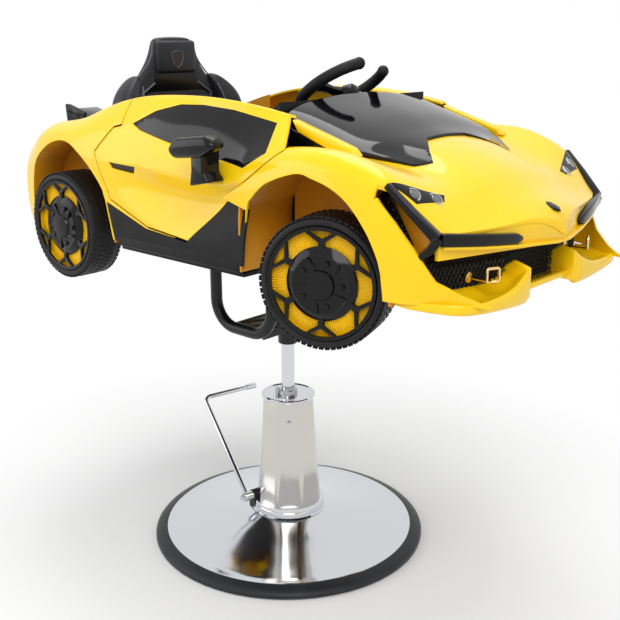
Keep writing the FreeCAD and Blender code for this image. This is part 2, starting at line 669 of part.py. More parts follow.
def make_pedal():
    side = -PEDAL_SIDE
    low = V(PEDAL_SHAFT_X, side, PEDAL_SHAFT_Z)
    high = low + V(-PEDAL_REACH, 0, PEDAL_RISE)
    end = high + V(0, FOOT_BAR_L, 0)
    start = low + (high - low).normalize() * (PEDAL_HUB_R * 0.7)
    rod = bar([start, high, end], PEDAL_BEND_R, PEDAL_ROD_R)
    hub = cylinder(PEDAL_HUB_R, PEDAL_HUB_L, low + V(0, PEDAL_HUB_L / 2, 0), V(0, -1, 0))
    shaft_l = PEDAL_SIDE + PEDAL_HUB_L / 2 + CAP_T + PLUNGER_Y + CAM_R * 2
    shaft_at = V(PEDAL_SHAFT_X, PLUNGER_Y + CAM_R * 2, PEDAL_SHAFT_Z)
    shaft = cylinder(PEDAL_SHAFT_R, shaft_l, shaft_at, V(0, -1, 0))
    arm = block(PLUNGER_X, PEDAL_SHAFT_X, PLUNGER_Y - CAM_R, PLUNGER_Y + CAM_R * 2,
                PEDAL_SHAFT_Z - CAM_R, PEDAL_SHAFT_Z + CAM_R)
    tip = cylinder(CAM_R, CAM_R * 3, V(PLUNGER_X, PLUNGER_Y + CAM_R * 2, PEDAL_SHAFT_Z), V(0, -1, 0))
    shaft = fuse([shaft, arm, tip])
    pedal = rod.fuse(hub).removeSplitter().cut(shaft)
    sleeve = tube(SLEEVE_R, PEDAL_ROD_R, SLEEVE_L, end - V(0, SLEEVE_L, 0), V(0, 1, 0))
    save("foot_pedal", [pump_frame(pedal), pump_frame(sleeve)])
    save("pedal_shaft", pump_frame(shaft))
    plunger = cylinder(PLUNGER_R, PLUNGER_L, V(PLUNGER_X, PLUNGER_Y, PLUNGER_TOP - PLUNGER_L))
    save("pump_plunger", pump_frame(plunger))


def plate_bolt(x, y, z, grip):
    shank = cylinder(BOLT_R, grip, V(x, y, z))
    head = cylinder(BOLT_HEAD_R, BOLT_HEAD_H, V(x, y, z - BOLT_HEAD_H))
    return shank.fuse(head).removeSplitter()


def support_tube():
    top = FLOOR_Z - FOOT_PAD_T
    path = [V(-TUBE_HALF_SPAN, -TUBE_Y, top), V(-TUBE_HALF_SPAN, -TUBE_Y, TUBE_Z),
            V(TUBE_HALF_SPAN, -TUBE_Y, TUBE_Z), V(TUBE_HALF_SPAN, -TUBE_Y, top)]
    return bar(path, TUBE_BEND_R, TUBE_R), bar(path, TUBE_BEND_R, TUBE_R - TUBE_WALL)


def make_frame():
    hub_top = HUB_Z + HUB_L
    spot = (HUB_FLANGE_R + HUB_R) / 2 / math.sqrt(2)
    bolts = [plate_bolt(sx * spot, sy * spot, hub_top, HUB_FLANGE_T + PLATE_T)
             for sx in (-1, 1) for sy in (-1, 1)]
    inset = FOOT_PAD / 2 - BOLT_HEAD_R * 1.4
    for sx in (-1, 1):
        for sy in (-1, 1):
            for bx in (-inset, inset):
                for by in (-inset, inset):
                    bolts.append(plate_bolt(sx * TUBE_HALF_SPAN + bx, sy * TUBE_Y + by,
                                            FLOOR_Z - FOOT_PAD_T, FOOT_PAD_T + WALL))
    group = Part.makeCompound(bolts)
    save("frame_bolts", bolts)
    hub = lathe([(ROD_R + FIT, HUB_Z), (HUB_R - CAP_LIP, HUB_Z), (HUB_R, HUB_Z + CAP_LIP),
                 (HUB_R, hub_top), (HUB_FLANGE_R, hub_top), (HUB_FLANGE_R, PLATE_Z), (ROD_R + FIT, PLATE_Z)])
    save("swivel_hub", hub.cut(group))
    solid_tube, core = support_tube()
    tubes = []
    for side in (-1, 1):
        near = solid_tube if side < 0 else mirrored(solid_tube)
        hollow = core if side < 0 else mirrored(core)
        pads = [block(x - FOOT_PAD / 2, x + FOOT_PAD / 2, side * TUBE_Y - FOOT_PAD / 2,
                      side * TUBE_Y + FOOT_PAD / 2, FLOOR_Z - FOOT_PAD_T, FLOOR_Z)
                for x in (-TUBE_HALF_SPAN, TUBE_HALF_SPAN)]
        tubes.append(fuse([near.cut(hollow)] + pads).cut(group))
    save("support_tube_right", tubes[0])
    save("support_tube_left", tubes[1])
    flat = block(-PLATE_HALF_L, PLATE_HALF_L, -TUBE_Y, TUBE_Y, PLATE_Z, PLATE_Z + PLATE_T)
    lips = [block(x0, x0 + WALL, -TUBE_Y + TUBE_R, TUBE_Y - TUBE_R, PLATE_Z - PLATE_LIP + PLATE_T, PLATE_Z)
            for x0 in (-PLATE_HALF_L, PLATE_HALF_L - WALL)]
    whole = fuse([flat] + lips).cut(solid_tube).cut(mirrored(solid_tube)).cut(group)
    core_part = max(whole.Solids, key=lambda piece: piece.Volume)
    save("support_plate", core_part)
    return group


def plan_outline(points):
    """Half outline in plan, mirrored about the centre line, as points at the floor."""
    near = [(HALF_L * x, -HALF_W * y) for x, y in points]
    far = [(x, -y) for x, y in reversed(near) if y < 0]
    return near + far


def plan_prism(points, z0, z1):
    return plate([V(x, y, z0) for x, y in points], V(0, 0, z1 - z0))


def make_tub(bolts):
    top = FLOOR_Z + SILL_RISE
    near = [(TUB_TAIL_X, -TUB_REAR_HALF), (TUB_STEP_X, -TUB_REAR_HALF), (TUB_STEP_X, -TUB_HALF),
            (TUB_FRONT_X, -TUB_HALF), (TUB_FRONT_X, -TUB_FRONT_HALF), (TUB_NOSE_X, -TUB_FRONT_HALF)]
    floor = plan_prism(near + [(x, -y) for x, y in reversed(near)], FLOOR_Z, top)
    wall_top = FLOOR_Z + WELL_RISE
    pieces = [floor,
              block(WELL_REAR_X, WELL_REAR_X + WALL, -TUB_REAR_HALF, TUB_REAR_HALF, top, wall_top),
              block(FOOTWELL_X, FOOTWELL_X + WALL, -TUB_FRONT_HALF, TUB_FRONT_HALF, top, wall_top),
              block(TUB_TAIL_X, TUB_TAIL_X + WALL, -LUG_Y, LUG_Y, top, FLOOR_Z + LUG_RISE)]
    for side in (-1, 1):
        def slab(x0, x1, y0, y1, z1):
            low, high = sorted((side * y0, side * y1))
            return block(x0, x1, low, high, top, z1)
        pieces.append(slab(WELL_REAR_X, TUB_STEP_X, TUB_REAR_HALF - WALL, TUB_REAR_HALF, wall_top))
        pieces.append(slab(TUB_STEP_X, TUB_STEP_X + WALL, TUB_REAR_HALF - WALL, WELL_HALF, wall_top))
        pieces.append(slab(TUB_STEP_X, TUB_FRONT_X, WELL_HALF - WALL, WELL_HALF, wall_top))
        pieces.append(slab(TUB_FRONT_X - WALL, TUB_FRONT_X, TUB_FRONT_HALF - WALL, WELL_HALF, wall_top))
        pieces.append(slab(TUB_FRONT_X, FOOTWELL_X, TUB_FRONT_HALF - WALL, TUB_FRONT_HALF, wall_top))
        pieces.append(slab(TUB_STEP_X, TUB_FRONT_X, WELL_HALF, SILL_BOX_HALF, top + SILL_BOX_H))
        pieces.append(slab(TUB_TAIL_X, WELL_REAR_X, LUG_Y, LUG_Y + LUG_T, FLOOR_Z + LUG_RISE))
    tub = fuse(pieces)
    bore = cylinder(AXLE_R + FIT, HALF_W * 2, V(REAR_AXLE_X, -HALF_W, AXLE_Z), V(0, 1, 0))
    save("chassis_tub", tub.cut(bore).cut(bolts))


# Steering geometry: the shaft runs down and forward from the wheel to the crank over the front axle
TILT = math.radians(STEER_TILT)
SHAFT_DIR = V(math.cos(TILT), 0, -math.sin(TILT))
WHEEL_UP = V(math.sin(TILT), 0, math.cos(TILT))
WHEEL_AT = V(STEER_WHEEL_X, 0, FLOOR_Z + STEER_WHEEL_RISE)
PIN_MID = V(KINGPIN_X - KNUCKLE_ARM, 0, FLOOR_Z + CRANK_PIN_RISE)
SHAFT_L = (PIN_MID - WHEEL_AT).dot(SHAFT_DIR)
CRANK_L = -(PIN_MID - WHEEL_AT - SHAFT_DIR * SHAFT_L).dot(WHEEL_UP)
SHAFT_END = WHEEL_AT + SHAFT_DIR * SHAFT_L
TIE_REST = -KNUCKLE_ARM * math.sin(math.radians(STEER_REST))
KNUCKLE_Z = FLOOR_Z + LUG_PLATE_T + SLIDE_GAP
ARM_T = AXLE_R * 1.5
ARM_Z = KNUCKLE_Z + TIE_PIN_R
TIE_Z = ARM_Z + ARM_T + SLIDE_GAP
CRANK_T = STEER_SHAFT_R


def along_shaft(distance):
    return WHEEL_AT + SHAFT_DIR * distance


def shaft_half_space(distance):
    """Everything past a plane square to the steering shaft, as a large block."""
    size = HALF_W * 2
    square = [along_shaft(distance) + WHEEL_UP * (a * size) + V(0, b * size, 0)
              for a, b in ((-1, -1), (1, -1), (1, 1), (-1, 1))]
    return plate(square, SHAFT_DIR * size)


def make_axles():
    base = FLOOR_Z + SILL_RISE
    x0, x1 = KINGPIN_X - BEAM_W / 2, KINGPIN_X + BEAM_W / 2
    end = KINGPIN_Y - BEAM_END
    lug_top = KNUCKLE_Z + KNUCKLE_H + SLIDE_GAP
    pieces = [block(x0, x1, -end, end, base, base + BEAM_H)]
    pins = []
    for side in (-1, 1):
        y_in, y_out = sorted((side * (end - LUG_REACH), side * (KINGPIN_Y + LUG_REACH)))
        foot_in, foot_out = sorted((side * TUB_FRONT_HALF, side * (KINGPIN_Y + LUG_REACH)))
        for z0, z1 in ((FLOOR_Z, FLOOR_Z + LUG_PLATE_T), (lug_top, lug_top + LUG_PLATE_T)):
            low, high = (y_in, y_out) if z0 > FLOOR_Z else (foot_in, foot_out)
            pieces.append(block(KINGPIN_X - LUG_REACH, KINGPIN_X + LUG_REACH, low, high, z0, z1))
        joint = sorted((side * TUB_FRONT_HALF, side * end))
        pieces.append(block(KINGPIN_X - LUG_REACH, KINGPIN_X + LUG_REACH, joint[0], joint[1],
                            FLOOR_Z, base + BEAM_H))
        pin = cylinder(KINGPIN_R, lug_top + LUG_PLATE_T - FLOOR_Z, V(KINGPIN_X, side * KINGPIN_Y, FLOOR_Z))
        head = cylinder(KINGPIN_R * 1.5, KINGPIN_R * 0.8,
                        V(KINGPIN_X, side * KINGPIN_Y, lug_top + LUG_PLATE_T))
        pins.append(fuse([pin, head]))
    stand = block(x0, x1, -BEARING_W / 2, BEARING_W / 2, base + BEAM_H, base + BEAM_H + BEARING_H)
    crank_room = block(x0 - OVER, x1 + OVER, -BEARING_GAP_W / 2, BEARING_GAP_W / 2,
                       base + BEAM_H, base + BEAM_H + BEARING_H + OVER)
    crank_room = crank_room.common(shaft_half_space(SHAFT_L - CRANK_T * 1.5 - SLIDE_GAP))
    bore = cylinder(STEER_SHAFT_R + FIT, SHAFT_L + OVER, WHEEL_AT, SHAFT_DIR)
    beam = fuse(pieces + [stand.cut(crank_room)]).cut(bore)
    save("axle_beam", [beam.cut(Part.makeCompound(pins))] + pins)
    axle_half = WHEEL_FACE_Y - DISC_DEPTH + NUT_H
    axle = cylinder(AXLE_R, axle_half * 2, V(REAR_AXLE_X, -axle_half, AXLE_Z), V(0, 1, 0))
    nuts = [tube(NUT_R, AXLE_R - FIT, NUT_H, V(REAR_AXLE_X, side * axle_half, AXLE_Z), V(0, -side, 0))
            for side in (-1, 1)]
    save("rear_axle", fuse([axle] + nuts))


def knuckle(side):
    """Knuckle as at straight ahead, with the kingpin bore at its own axis."""
    at = V(KINGPIN_X, side * KINGPIN_Y, 0)
    face = (WHEEL_FACE_Y - KINGPIN_Y) / math.cos(math.radians(STEER_REST))
    barrel = cylinder(KNUCKLE_R, KNUCKLE_H, at + V(0, 0, KNUCKLE_Z))
    stub_l = face - DISC_DEPTH + NUT_H
    stub = cylinder(AXLE_R, stub_l, at + V(0, 0, AXLE_Z), V(0, side, 0))
    nut = cylinder(NUT_R, NUT_H, at + V(0, side * (stub_l - NUT_H), AXLE_Z), V(0, side, 0))
    tip = at + V(-KNUCKLE_ARM, 0, ARM_Z)
    arm = block(tip.x, at.x, at.y - TIE_PIN_R * 1.6, at.y + TIE_PIN_R * 1.6, ARM_Z, ARM_Z + ARM_T)
    eye = cylinder(TIE_PIN_R * 1.6, ARM_T, tip)
    pin = cylinder(TIE_PIN_R, ARM_T + SLIDE_GAP + TIE_T * 2, tip)
    bore = cylinder(KINGPIN_R + FIT, HALF_W, at + V(0, 0, FLOOR_Z))
    shape = fuse([barrel, stub, arm, eye]).cut(bore)
    return fuse([nut, shape, pin])


def make_steering():
    for side, name in ((-1, "right"), (1, "left")):
        shape = knuckle(side)
        save("knuckle_" + name, turn(shape, STEER_REST, V(0, 0, 1), V(KINGPIN_X, side * KINGPIN_Y, 0)))
    slack = TIE_PIN_R + SLIDE_GAP
    mid_x = KINGPIN_X - KNUCKLE_ARM
    reach = KINGPIN_Y + TIE_PIN_R * 2.2
    rod = block(mid_x - TIE_W / 2, mid_x + TIE_W / 2, -reach, reach, TIE_Z, TIE_Z + TIE_T)
    fork_half = slack + TIE_PIN_R
    fork = block(mid_x - TIE_W / 2, mid_x + TIE_W / 2, -fork_half, fork_half, TIE_Z, PIN_MID.z + TIE_T * 2)
    slot = block(mid_x - TIE_W, mid_x + TIE_W, -slack, slack, TIE_Z + TIE_T, PIN_MID.z + TIE_T * 3)
    fork = fork.cut(slot)
    crank_face = SHAFT_L - CRANK_T / 2
    keep = shaft_half_space(crank_face + PANEL_GAP)
    fork = fork.common(keep)
    tie = fuse([rod, fork])
    for side in (-1, 1):
        hole = block(mid_x - slack - TIE_PIN_R * 0.7, mid_x + slack + TIE_PIN_R * 0.7,
                     side * KINGPIN_Y - slack, side * KINGPIN_Y + slack, TIE_Z - OVER, TIE_Z + TIE_T + OVER)
        tie = tie.cut(hole)
    save("tie_rod", move(tie, 0, TIE_REST, 0))
    seat = STEER_BOSS_H * 0.4
    shaft = cylinder(STEER_SHAFT_R, crank_face - seat, along_shaft(seat), SHAFT_DIR)
    top = crank_face - CRANK_T
    web = [along_shaft(top) + V(0, -CRANK_T, 0), along_shaft(top) + V(0, CRANK_T, 0),
           along_shaft(top) + V(0, CRANK_T, 0) - WHEEL_UP * CRANK_L,
           along_shaft(top) + V(0, -CRANK_T, 0) - WHEEL_UP * CRANK_L]
    arm = plate(web, SHAFT_DIR * CRANK_T)
    eye = cylinder(CRANK_T, CRANK_T, along_shaft(top) - WHEEL_UP * CRANK_L, SHAFT_DIR)
    pin = cylinder(TIE_PIN_R, CRANK_T * 2.7, along_shaft(top) - WHEEL_UP * CRANK_L, SHAFT_DIR)
    crank = turn(fuse([arm, eye, pin]), -WHEEL_TURN_REST, SHAFT_DIR, WHEEL_AT)
    save("steering_shaft", fuse([shaft, crank]))
    rim = Part.makeTorus(STEER_RING_R, STEER_BAR_R, V(0, 0, 0), V(0, 0, 1), -180, 180, 360 - 2 * STEER_GAP)
    rim = turn(rim, STEER_GAP)
    caps = [turn(Part.makeSphere(STEER_BAR_R, V(STEER_RING_R, 0, 0)), angle)
            for angle in (STEER_GAP, -STEER_GAP)]
    boss = lathe([(0, -STEER_BOSS_H), (STEER_BOSS_R, -STEER_BOSS_H), (STEER_BOSS_R, -STEER_BOSS_H * 0.6),
                  (STEER_BOSS_R * 0.75, -STEER_BOSS_H * 0.3), (0, -STEER_BOSS_H * 0.18)])
    spokes = []
    for angle in (STEER_SPOKE, 180, -STEER_SPOKE):
        path = [V(STEER_BOSS_R * 0.5, 0, -STEER_BOSS_H * 0.75), V(STEER_BOSS_R * 0.5, 0, -STEER_BOSS_H * 0.4),
                V(STEER_RING_R, 0, STEER_BAR_R * 0.4), V(STEER_RING_R, 0, -STEER_BAR_R * 0.5)]
        arm = move(plate(path, V(0, STEER_BAR_R * 1.7, 0)), 0, -STEER_BAR_R * 0.85, 0)
        spokes.append(turn(arm, angle))
    wheel = boss
    for piece in spokes + [rim] + caps:
        wheel = fuse([wheel, piece])
    frame = FreeCAD.Matrix(WHEEL_UP.x, 0, -SHAFT_DIR.x, WHEEL_AT.x, 0, 1, 0, 0,
                           WHEEL_UP.z, 0, -SHAFT_DIR.z, WHEEL_AT.z, 0, 0, 0, 1)
    placed = wheel.copy()
    placed.Placement = FreeCAD.Placement(frame)
    placed = turn(placed, WHEEL_TURN_REST, SHAFT_DIR * -1, WHEEL_AT)
    bore = cylinder(STEER_SHAFT_R, SHAFT_L, along_shaft(STEER_BOSS_H * 0.4), SHAFT_DIR)
    save("steering_wheel", placed.cut(bore))


def tyre_form():
    wide = TYRE_W - RIM_LIP / 2
    return lathe([(RIM_R, RIM_LIP / 2), (TYRE_R - TYRE_SHOULDER, 0),
                  (TYRE_R - TYRE_SHOULDER / 3, TYRE_SHOULDER / 3),
                  (TYRE_R, TYRE_SHOULDER), (TYRE_R, wide - TYRE_SHOULDER),
                  (TYRE_R - TYRE_SHOULDER / 3, wide - TYRE_SHOULDER / 3),
                  (TYRE_R - TYRE_SHOULDER, wide), (RIM_R, wide - RIM_LIP / 2)])


def disc_form():
    face = TYRE_W - DISC_DEPTH
    shell = lathe([(AXLE_R + WHEEL_PLAY, face - DISC_PLATE_T), (RIM_R - BARREL_T, face - DISC_PLATE_T),
                   (RIM_R - BARREL_T, RIM_LIP), (RIM_R, RIM_LIP), (RIM_R, TYRE_W - RIM_LIP),
                   (RIM_R - BARREL_T, TYRE_W - RIM_LIP), (RIM_R - BARREL_T, face),
                   (AXLE_R + WHEEL_PLAY, face)])
    hub = tube(WHEEL_HUB_R, AXLE_R + WHEEL_PLAY, face - DISC_PLATE_T)
    ribs = [turn(block(COVER_DOME_R + RIM_LIP, RIM_R - BARREL_T, -BARREL_T / 4, BARREL_T / 4,
                       face, face + BARREL_T * 0.8), 360 * i / RIB_COUNT) for i in range(RIB_COUNT)]
    return turn(fuse([shell, hub] + ribs), RIB_TURN)


def spoke_bar(angle, r0, r1, width, lean, base, top):
    """One flat spoke, from radius r0 to r1, that leans by an angle from the radius."""
    a = math.radians(angle)
    start = V(r0 * math.cos(a), r0 * math.sin(a), base)
    b = math.radians(angle + lean)
    end = V(r1 * math.cos(b), r1 * math.sin(b), base)
    side = V(0, 0, 1).cross((end - start).normalize()) * (width / 2)
    return plate([start - side, end - side, end + side, start + side], V(0, 0, top - base))


def cover_form_wheel():
    face = TYRE_W - DISC_DEPTH + BARREL_T
    top = face + COVER_PLATE_T
    split = RIM_R * FORK_SPLIT_SHARE
    hole = NUT_R + PANEL_GAP
    dome = lathe([(hole, face), (COVER_DOME_R, face), (COVER_DOME_R, top),
                  (COVER_DOME_R * 0.8, top + COVER_DOME_H * 0.5),
                  (COVER_DOME_R * 0.45, top + COVER_DOME_H * 0.75), (0, top + COVER_DOME_H * 0.8),
                  (0, top + COVER_DOME_H * 0.4), (hole, top + COVER_DOME_H * 0.4)])
    ring = tube(RIM_R, RIM_R - RIM_LIP * 2, RIM_LIP, V(0, 0, TYRE_W - RIM_LIP))
    rod = tube(RIM_R - BARREL_T - FIT, RIM_R - RIM_LIP * 2, TYRE_W - RIM_LIP - face, V(0, 0, face))
    spokes = []
    for i in range(SPOKE_COUNT):
        angle = 360 * i / SPOKE_COUNT
        spokes.append(spoke_bar(angle, COVER_DOME_R - RIM_LIP, split, SPOKE_W, 0, face, top))
        for lean in (-FORK_SPREAD, FORK_SPREAD):
            spokes.append(spoke_bar(angle, split - RIM_LIP, RIM_R - RIM_LIP * 1.7, FORK_W, lean, face, top))
    return fuse([dome, ring, rod] + spokes)


def wheel_place(shape, start, side, steer):
    """Lays a wheel made on the Z axis along its axle, with its outer face outward."""
    laid = turn(shape, -90 * side, V(1, 0, 0))
    placed = move(laid, start.x, start.y, start.z)
    return turn(placed, steer, V(0, 0, 1), V(start.x, side * KINGPIN_Y, 0))


def make_wheels():
    face = (WHEEL_FACE_Y - KINGPIN_Y) / math.cos(math.radians(STEER_REST))
    spots = {
        "front_right": (-1, V(KINGPIN_X, -(KINGPIN_Y + face - TYRE_W), AXLE_Z), STEER_REST),
        "front_left": (1, V(KINGPIN_X, KINGPIN_Y + face - TYRE_W, AXLE_Z), STEER_REST),
        "rear_right": (-1, V(REAR_AXLE_X, -(WHEEL_FACE_Y - TYRE_W), AXLE_Z), 0),
        "rear_left": (1, V(REAR_AXLE_X, WHEEL_FACE_Y - TYRE_W, AXLE_Z), 0),
    }
    forms = {"tyre": tyre_form(), "wheel_disc": disc_form(), "wheel_cover": cover_form_wheel()}
    for place, (side, start, steer) in spots.items():
        for name, form in forms.items():
            save(name + "_" + place, wheel_place(form, start, side, steer))


def grown_prism(outline, side, gap):
    """Side-view outline grown by a gap, pulled through one side of the car."""
    points = [body_point(x, 0, z) for x, z in outline]
    wire = Part.makePolygon(points + [points[0]])
    grown = wire.makeOffset2D(gap, 2)
    return Part.Face(grown).extrude(V(0, side * HALF_W * 2, 0))


def envelope(rows, depth=0.0):
    """Solid a depth inside the outer skin, closed straight across the bottom."""
    wires = []
    for row in rows:
        near = [body_point(row[0], y, z) for y, z in row[1:]]
        far = [V(p.x, -p.y, p.z) for p in reversed(near[:-1])]
        section = inset_section(near + far, depth)
        wires.append(Part.makePolygon(section + [section[0]]))
    return Part.makeLoft(wires, True, True)


def largest(shape):
    """The main solid, without the slivers that a cut can leave."""
    return max(shape.Solids, key=lambda solid: solid.Volume)


def in_box(shape, x0, x1, z0, z1):
    return shape.common(block(x0, x1, -HALF_W * 2, HALF_W * 2, z0, z1))


def inner_panel(rows, y, point, side):
    """Upright panel between the tub's edge and the skin, whose top follows the skin."""
    tops = [body_point(row[0], 0, row[point][1]) for row in rows]
    base = [V(tops[-1].x, 0, FLOOR_Z), V(tops[0].x, 0, FLOOR_Z)]
    low = min(side * y, side * (y + WALL))
    points = [V(p.x, low, p.z - WALL / 2) for p in tops] + [V(p.x, low, p.z) for p in base]
    return plate(points, V(0, WALL, 0))


def arch_liner(outline, y, side, body):
    """Curved wall over a wheel, from the inner panel out to the skin."""
    points = [body_point(x, 0, z) for x, z in outline]
    wire = Part.makePolygon(points + [points[0]])
    outer = Part.Face(wire.makeOffset2D(WALL, 2)).extrude(V(0, HALF_W * 2, 0))
    inner = Part.Face(wire).extrude(V(0, HALF_W * 2, 0))
    shell = move(outer.cut(inner), 0, y, 0)
    shell = shell if side > 0 else mirrored(shell)
    return shell.common(body).cut(block(-HALF_L * 2, HALF_L * 2, -HALF_W * 2, HALF_W * 2, 0, FLOOR_Z))


COCKPIT_REAR_X = HALF_L * seat_shares[SEAT_DECK_ROW][2] - SEAT_BACK_T - SHUT_GAP


def cockpit_prism():
    return block(COCKPIT_REAR_X, COCKPIT_FRONT_X, -COCKPIT_HALF, COCKPIT_HALF, FLOOR_Z, SILL_Z + BODY_H * 2)


def outer_side(skin_shape, side):
    """The part of the skin outside the cockpit opening, on one side."""
    low, high = sorted((side * COCKPIT_HALF, side * HALF_W * 2))
    return skin_shape.common(block(-HALF_L * 2, HALF_L * 2, low, high, FLOOR_Z, SILL_Z + BODY_H * 2))


def axle_room():
    return cylinder(AXLE_R + PANEL_GAP, HALF_W * 2, V(REAR_AXLE_X, -HALF_W, AXLE_Z), V(0, 1, 0))


def make_rear_body(cabin, core):
    body = cabin.cut(cockpit_prism())
    for side in (-1, 1):
        body = body.cut(grown_prism(door_shares, side, SHUT_GAP))
        body = body.cut(grown_prism(skirt_shares, side, SHUT_GAP / 2))
        body = body.cut(smooth_prism(rear_arch_shares, side))
    body = in_box(body, -HALF_L, HALF_L * rear_body_front_share, FLOOR_Z, SILL_Z + BODY_H)
    first = cabin_shares[0]
    near = [body_point(first[0], y, z) for y, z in first[1:]]
    far = [V(p.x, -p.y, p.z) for p in reversed(near[:-1])]
    extras = [plate(inset_section(near + far, WALL / 2), V(WALL, 0, 0))]
    low, high = rear_panel_shares
    rear_rows = [row for row in cabin_shares if low < row[0] < high]
    for side in (-1, 1):
        extras.append(inner_panel(rear_rows, TUB_REAR_HALF, 7, side).common(core).cut(axle_room()))
        extras.append(arch_liner(rear_arch_shares, TUB_REAR_HALF + WALL / 2, side, core))
    return largest(fuse([body] + extras))


def skirt_room(side):
    """Room behind the front end of a skirt, which no liner enters."""
    front = HALF_L * max(x for x, _ in skirt_shares) + SHUT_GAP
    top = SILL_Z + BODY_H * max(z for _, z in skirt_shares)
    y0, y1 = sorted((side * (SILL_BOX_HALF + WALL), side * HALF_W * 2))
    return block(0, front, y0, y1, FLOOR_Z - OVER, top)


def hinge_ear(side, core):
    """Lug on the front body that carries the lower half of a hinge pin."""
    top = FLOOR_Z + HINGE_RISE
    y0, y1 = sorted((side * (HINGE_Y - HINGE_BOSS_R), side * HALF_W))
    ear = block(HINGE_X - HINGE_BOSS_R, HINGE_X + HINGE_BOSS_R, y0, y1, top - HINGE_BOSS_H, top).common(core)
    return ear.cut(hinge_pin(side))


def hinge_room(side):
    """Room that the door's edge and boss need beside the hinge pin as they swing."""
    reach = HALF_W - HINGE_Y + SHUT_GAP
    top = FLOOR_Z + HINGE_RISE
    at = V(HINGE_X, side * HINGE_Y, top - HINGE_NOTCH)
    y0, y1 = sorted((side * (HINGE_Y + HINGE_R + WALL / 2), side * HALF_W * 2))
    outer = block(HINGE_X - reach, HINGE_X + reach, y0, y1, at.z, top + HINGE_BOSS_H * 2)
    upper = cylinder(reach, HINGE_BOSS_H + SHUT_GAP, V(at.x, at.y, top + WALL / 4))
    return fuse([cylinder(reach, HINGE_NOTCH + HINGE_BOSS_H, at).common(outer), upper])


def hinge_pin(side):
    foot = FLOOR_Z + HINGE_RISE - HINGE_BOSS_H
    return cylinder(HINGE_R, HINGE_BOSS_H * 2 + SHUT_GAP, V(HINGE_X, side * HINGE_Y, foot))


def make_front_body(nose, core, lamps, trims):
    body = nose.cut(cockpit_prism())
    edge = plan_outline(edge_plan_shares)
    front = HALF_L * 2
    ahead = edge + [(front, edge[-1][1] * 2), (front, edge[0][1] * 2)]
    body = body.cut(plan_prism(ahead, FLOOR_Z - OVER, SILL_Z + BODY_H * 2))
    screen = plan_outline(screen_plan_shares)
    body = body.cut(plan_prism(screen, AXLE_Z + TYRE_R, SILL_Z + BODY_H * 2))
    for side in (-1, 1):
        for outline in (door_shares, skirt_shares):
            body = body.cut(grown_prism(outline, side, SHUT_GAP / 2))
        body = body.cut(smooth_prism(front_arch_shares, side))
        body = body.cut(side_prism(mouth_shares, side))
    extras = []
    low, high = front_panel_shares
    front_rows = [row for row in nose_shares if low < row[0] < high]
    for side in (-1, 1):
        panel = inner_panel(front_rows, TUB_FRONT_HALF, 7, side)
        room = block(KINGPIN_X - BEAM_OPENING_X, KINGPIN_X + BEAM_OPENING_X / 2, -HALF_W, HALF_W,
                     FLOOR_Z - OVER, FLOOR_Z + BEAM_OPENING_Z)
        extras.append(panel.cut(room).common(core))
        liner = arch_liner(front_liner_shares, TUB_FRONT_HALF + WALL / 2, side, core)
        extras.append(liner.cut(skirt_room(side)))
        pillar_points = [body_point(x, 0, z) for x, z in pillar_shares]
        low = min(side * PILLAR_IN, side * PILLAR_OUT)
        pillar = plate([V(p.x, low, p.z) for p in pillar_points], V(0, PILLAR_OUT - PILLAR_IN, 0))
        extras.append(pillar.cut(grown_prism(door_shares, side, SHUT_GAP / 2)))
        extras.append(hinge_ear(side, core))
    whole = largest(fuse([body] + extras))
    for shape in lamps + trims + [hinge_room(side) for side in (-1, 1)]:
        whole = whole.cut(shape)
    return largest(whole)


def make_skirts(cabin):
    skirts = []
    for side in (-1, 1):
        part = cabin.common(side_prism(skirt_shares, side))
        y0, y1 = sorted((side * (TUB_HALF - WALL * 3), side * (TUB_HALF + WALL * 2)))
        ledge = block(TUB_STEP_X, TUB_FRONT_X, y0, y1, SILL_Z, SILL_Z + WALL * 6)
        skirts.append(fuse([part, ledge]))
    return skirts


def hinge_boss(side, core):
    """Lug on the door that turns on the upper half of the hinge pin."""
    foot = FLOOR_Z + HINGE_RISE + SHUT_GAP
    y0, y1 = sorted((side * (HINGE_Y - HINGE_BOSS_R), side * HALF_W))
    x0, x1 = HINGE_X - HINGE_BOSS_R, HINGE_X + HINGE_BOSS_R
    return block(x0, x1, y0, y1, foot, foot + HINGE_BOSS_H).common(core)


def make_doors(cabin, core):
    for side, name in ((-1, "right"), (1, "left")):
        flank = outer_side(cabin, side)
        door = flank.common(side_prism(door_shares, side))
        panes = []
        for outline in (window_shares, window_vent_shares):
            door = door.cut(side_prism(outline, side))
            pane = flank.common(grown_prism(outline, side, -SLIDE_GAP))
            panes.append(move(pane, 0, -side * WINDOW_INSET, 0))
        hole = cylinder(HINGE_R + FIT, HINGE_BOSS_H * 4,
                        V(HINGE_X, side * HINGE_Y, FLOOR_Z + HINGE_RISE - HINGE_BOSS_H))
        door = largest(fuse([door, hinge_boss(side, core)])).cut(hole)
        save("door_" + name, door)
        save("window_" + name, panes)
        low = MIRROR_Y - MIRROR_T / 2
        head = rounded_slab(mirror_shares, side, low, low + MIRROR_T, MIRROR_EDGE)
        y0, y1 = sorted((side * (HALF_W - WALL), side * MIRROR_Y))
        stalk = plate([V(p.x, y0, p.z) for p in (body_point(x, 0, z) for x, z in stalk_shares)],
                      V(0, y1 - y0, 0))
        save("mirror_" + name, largest(fuse([head, stalk]).cut(door)))


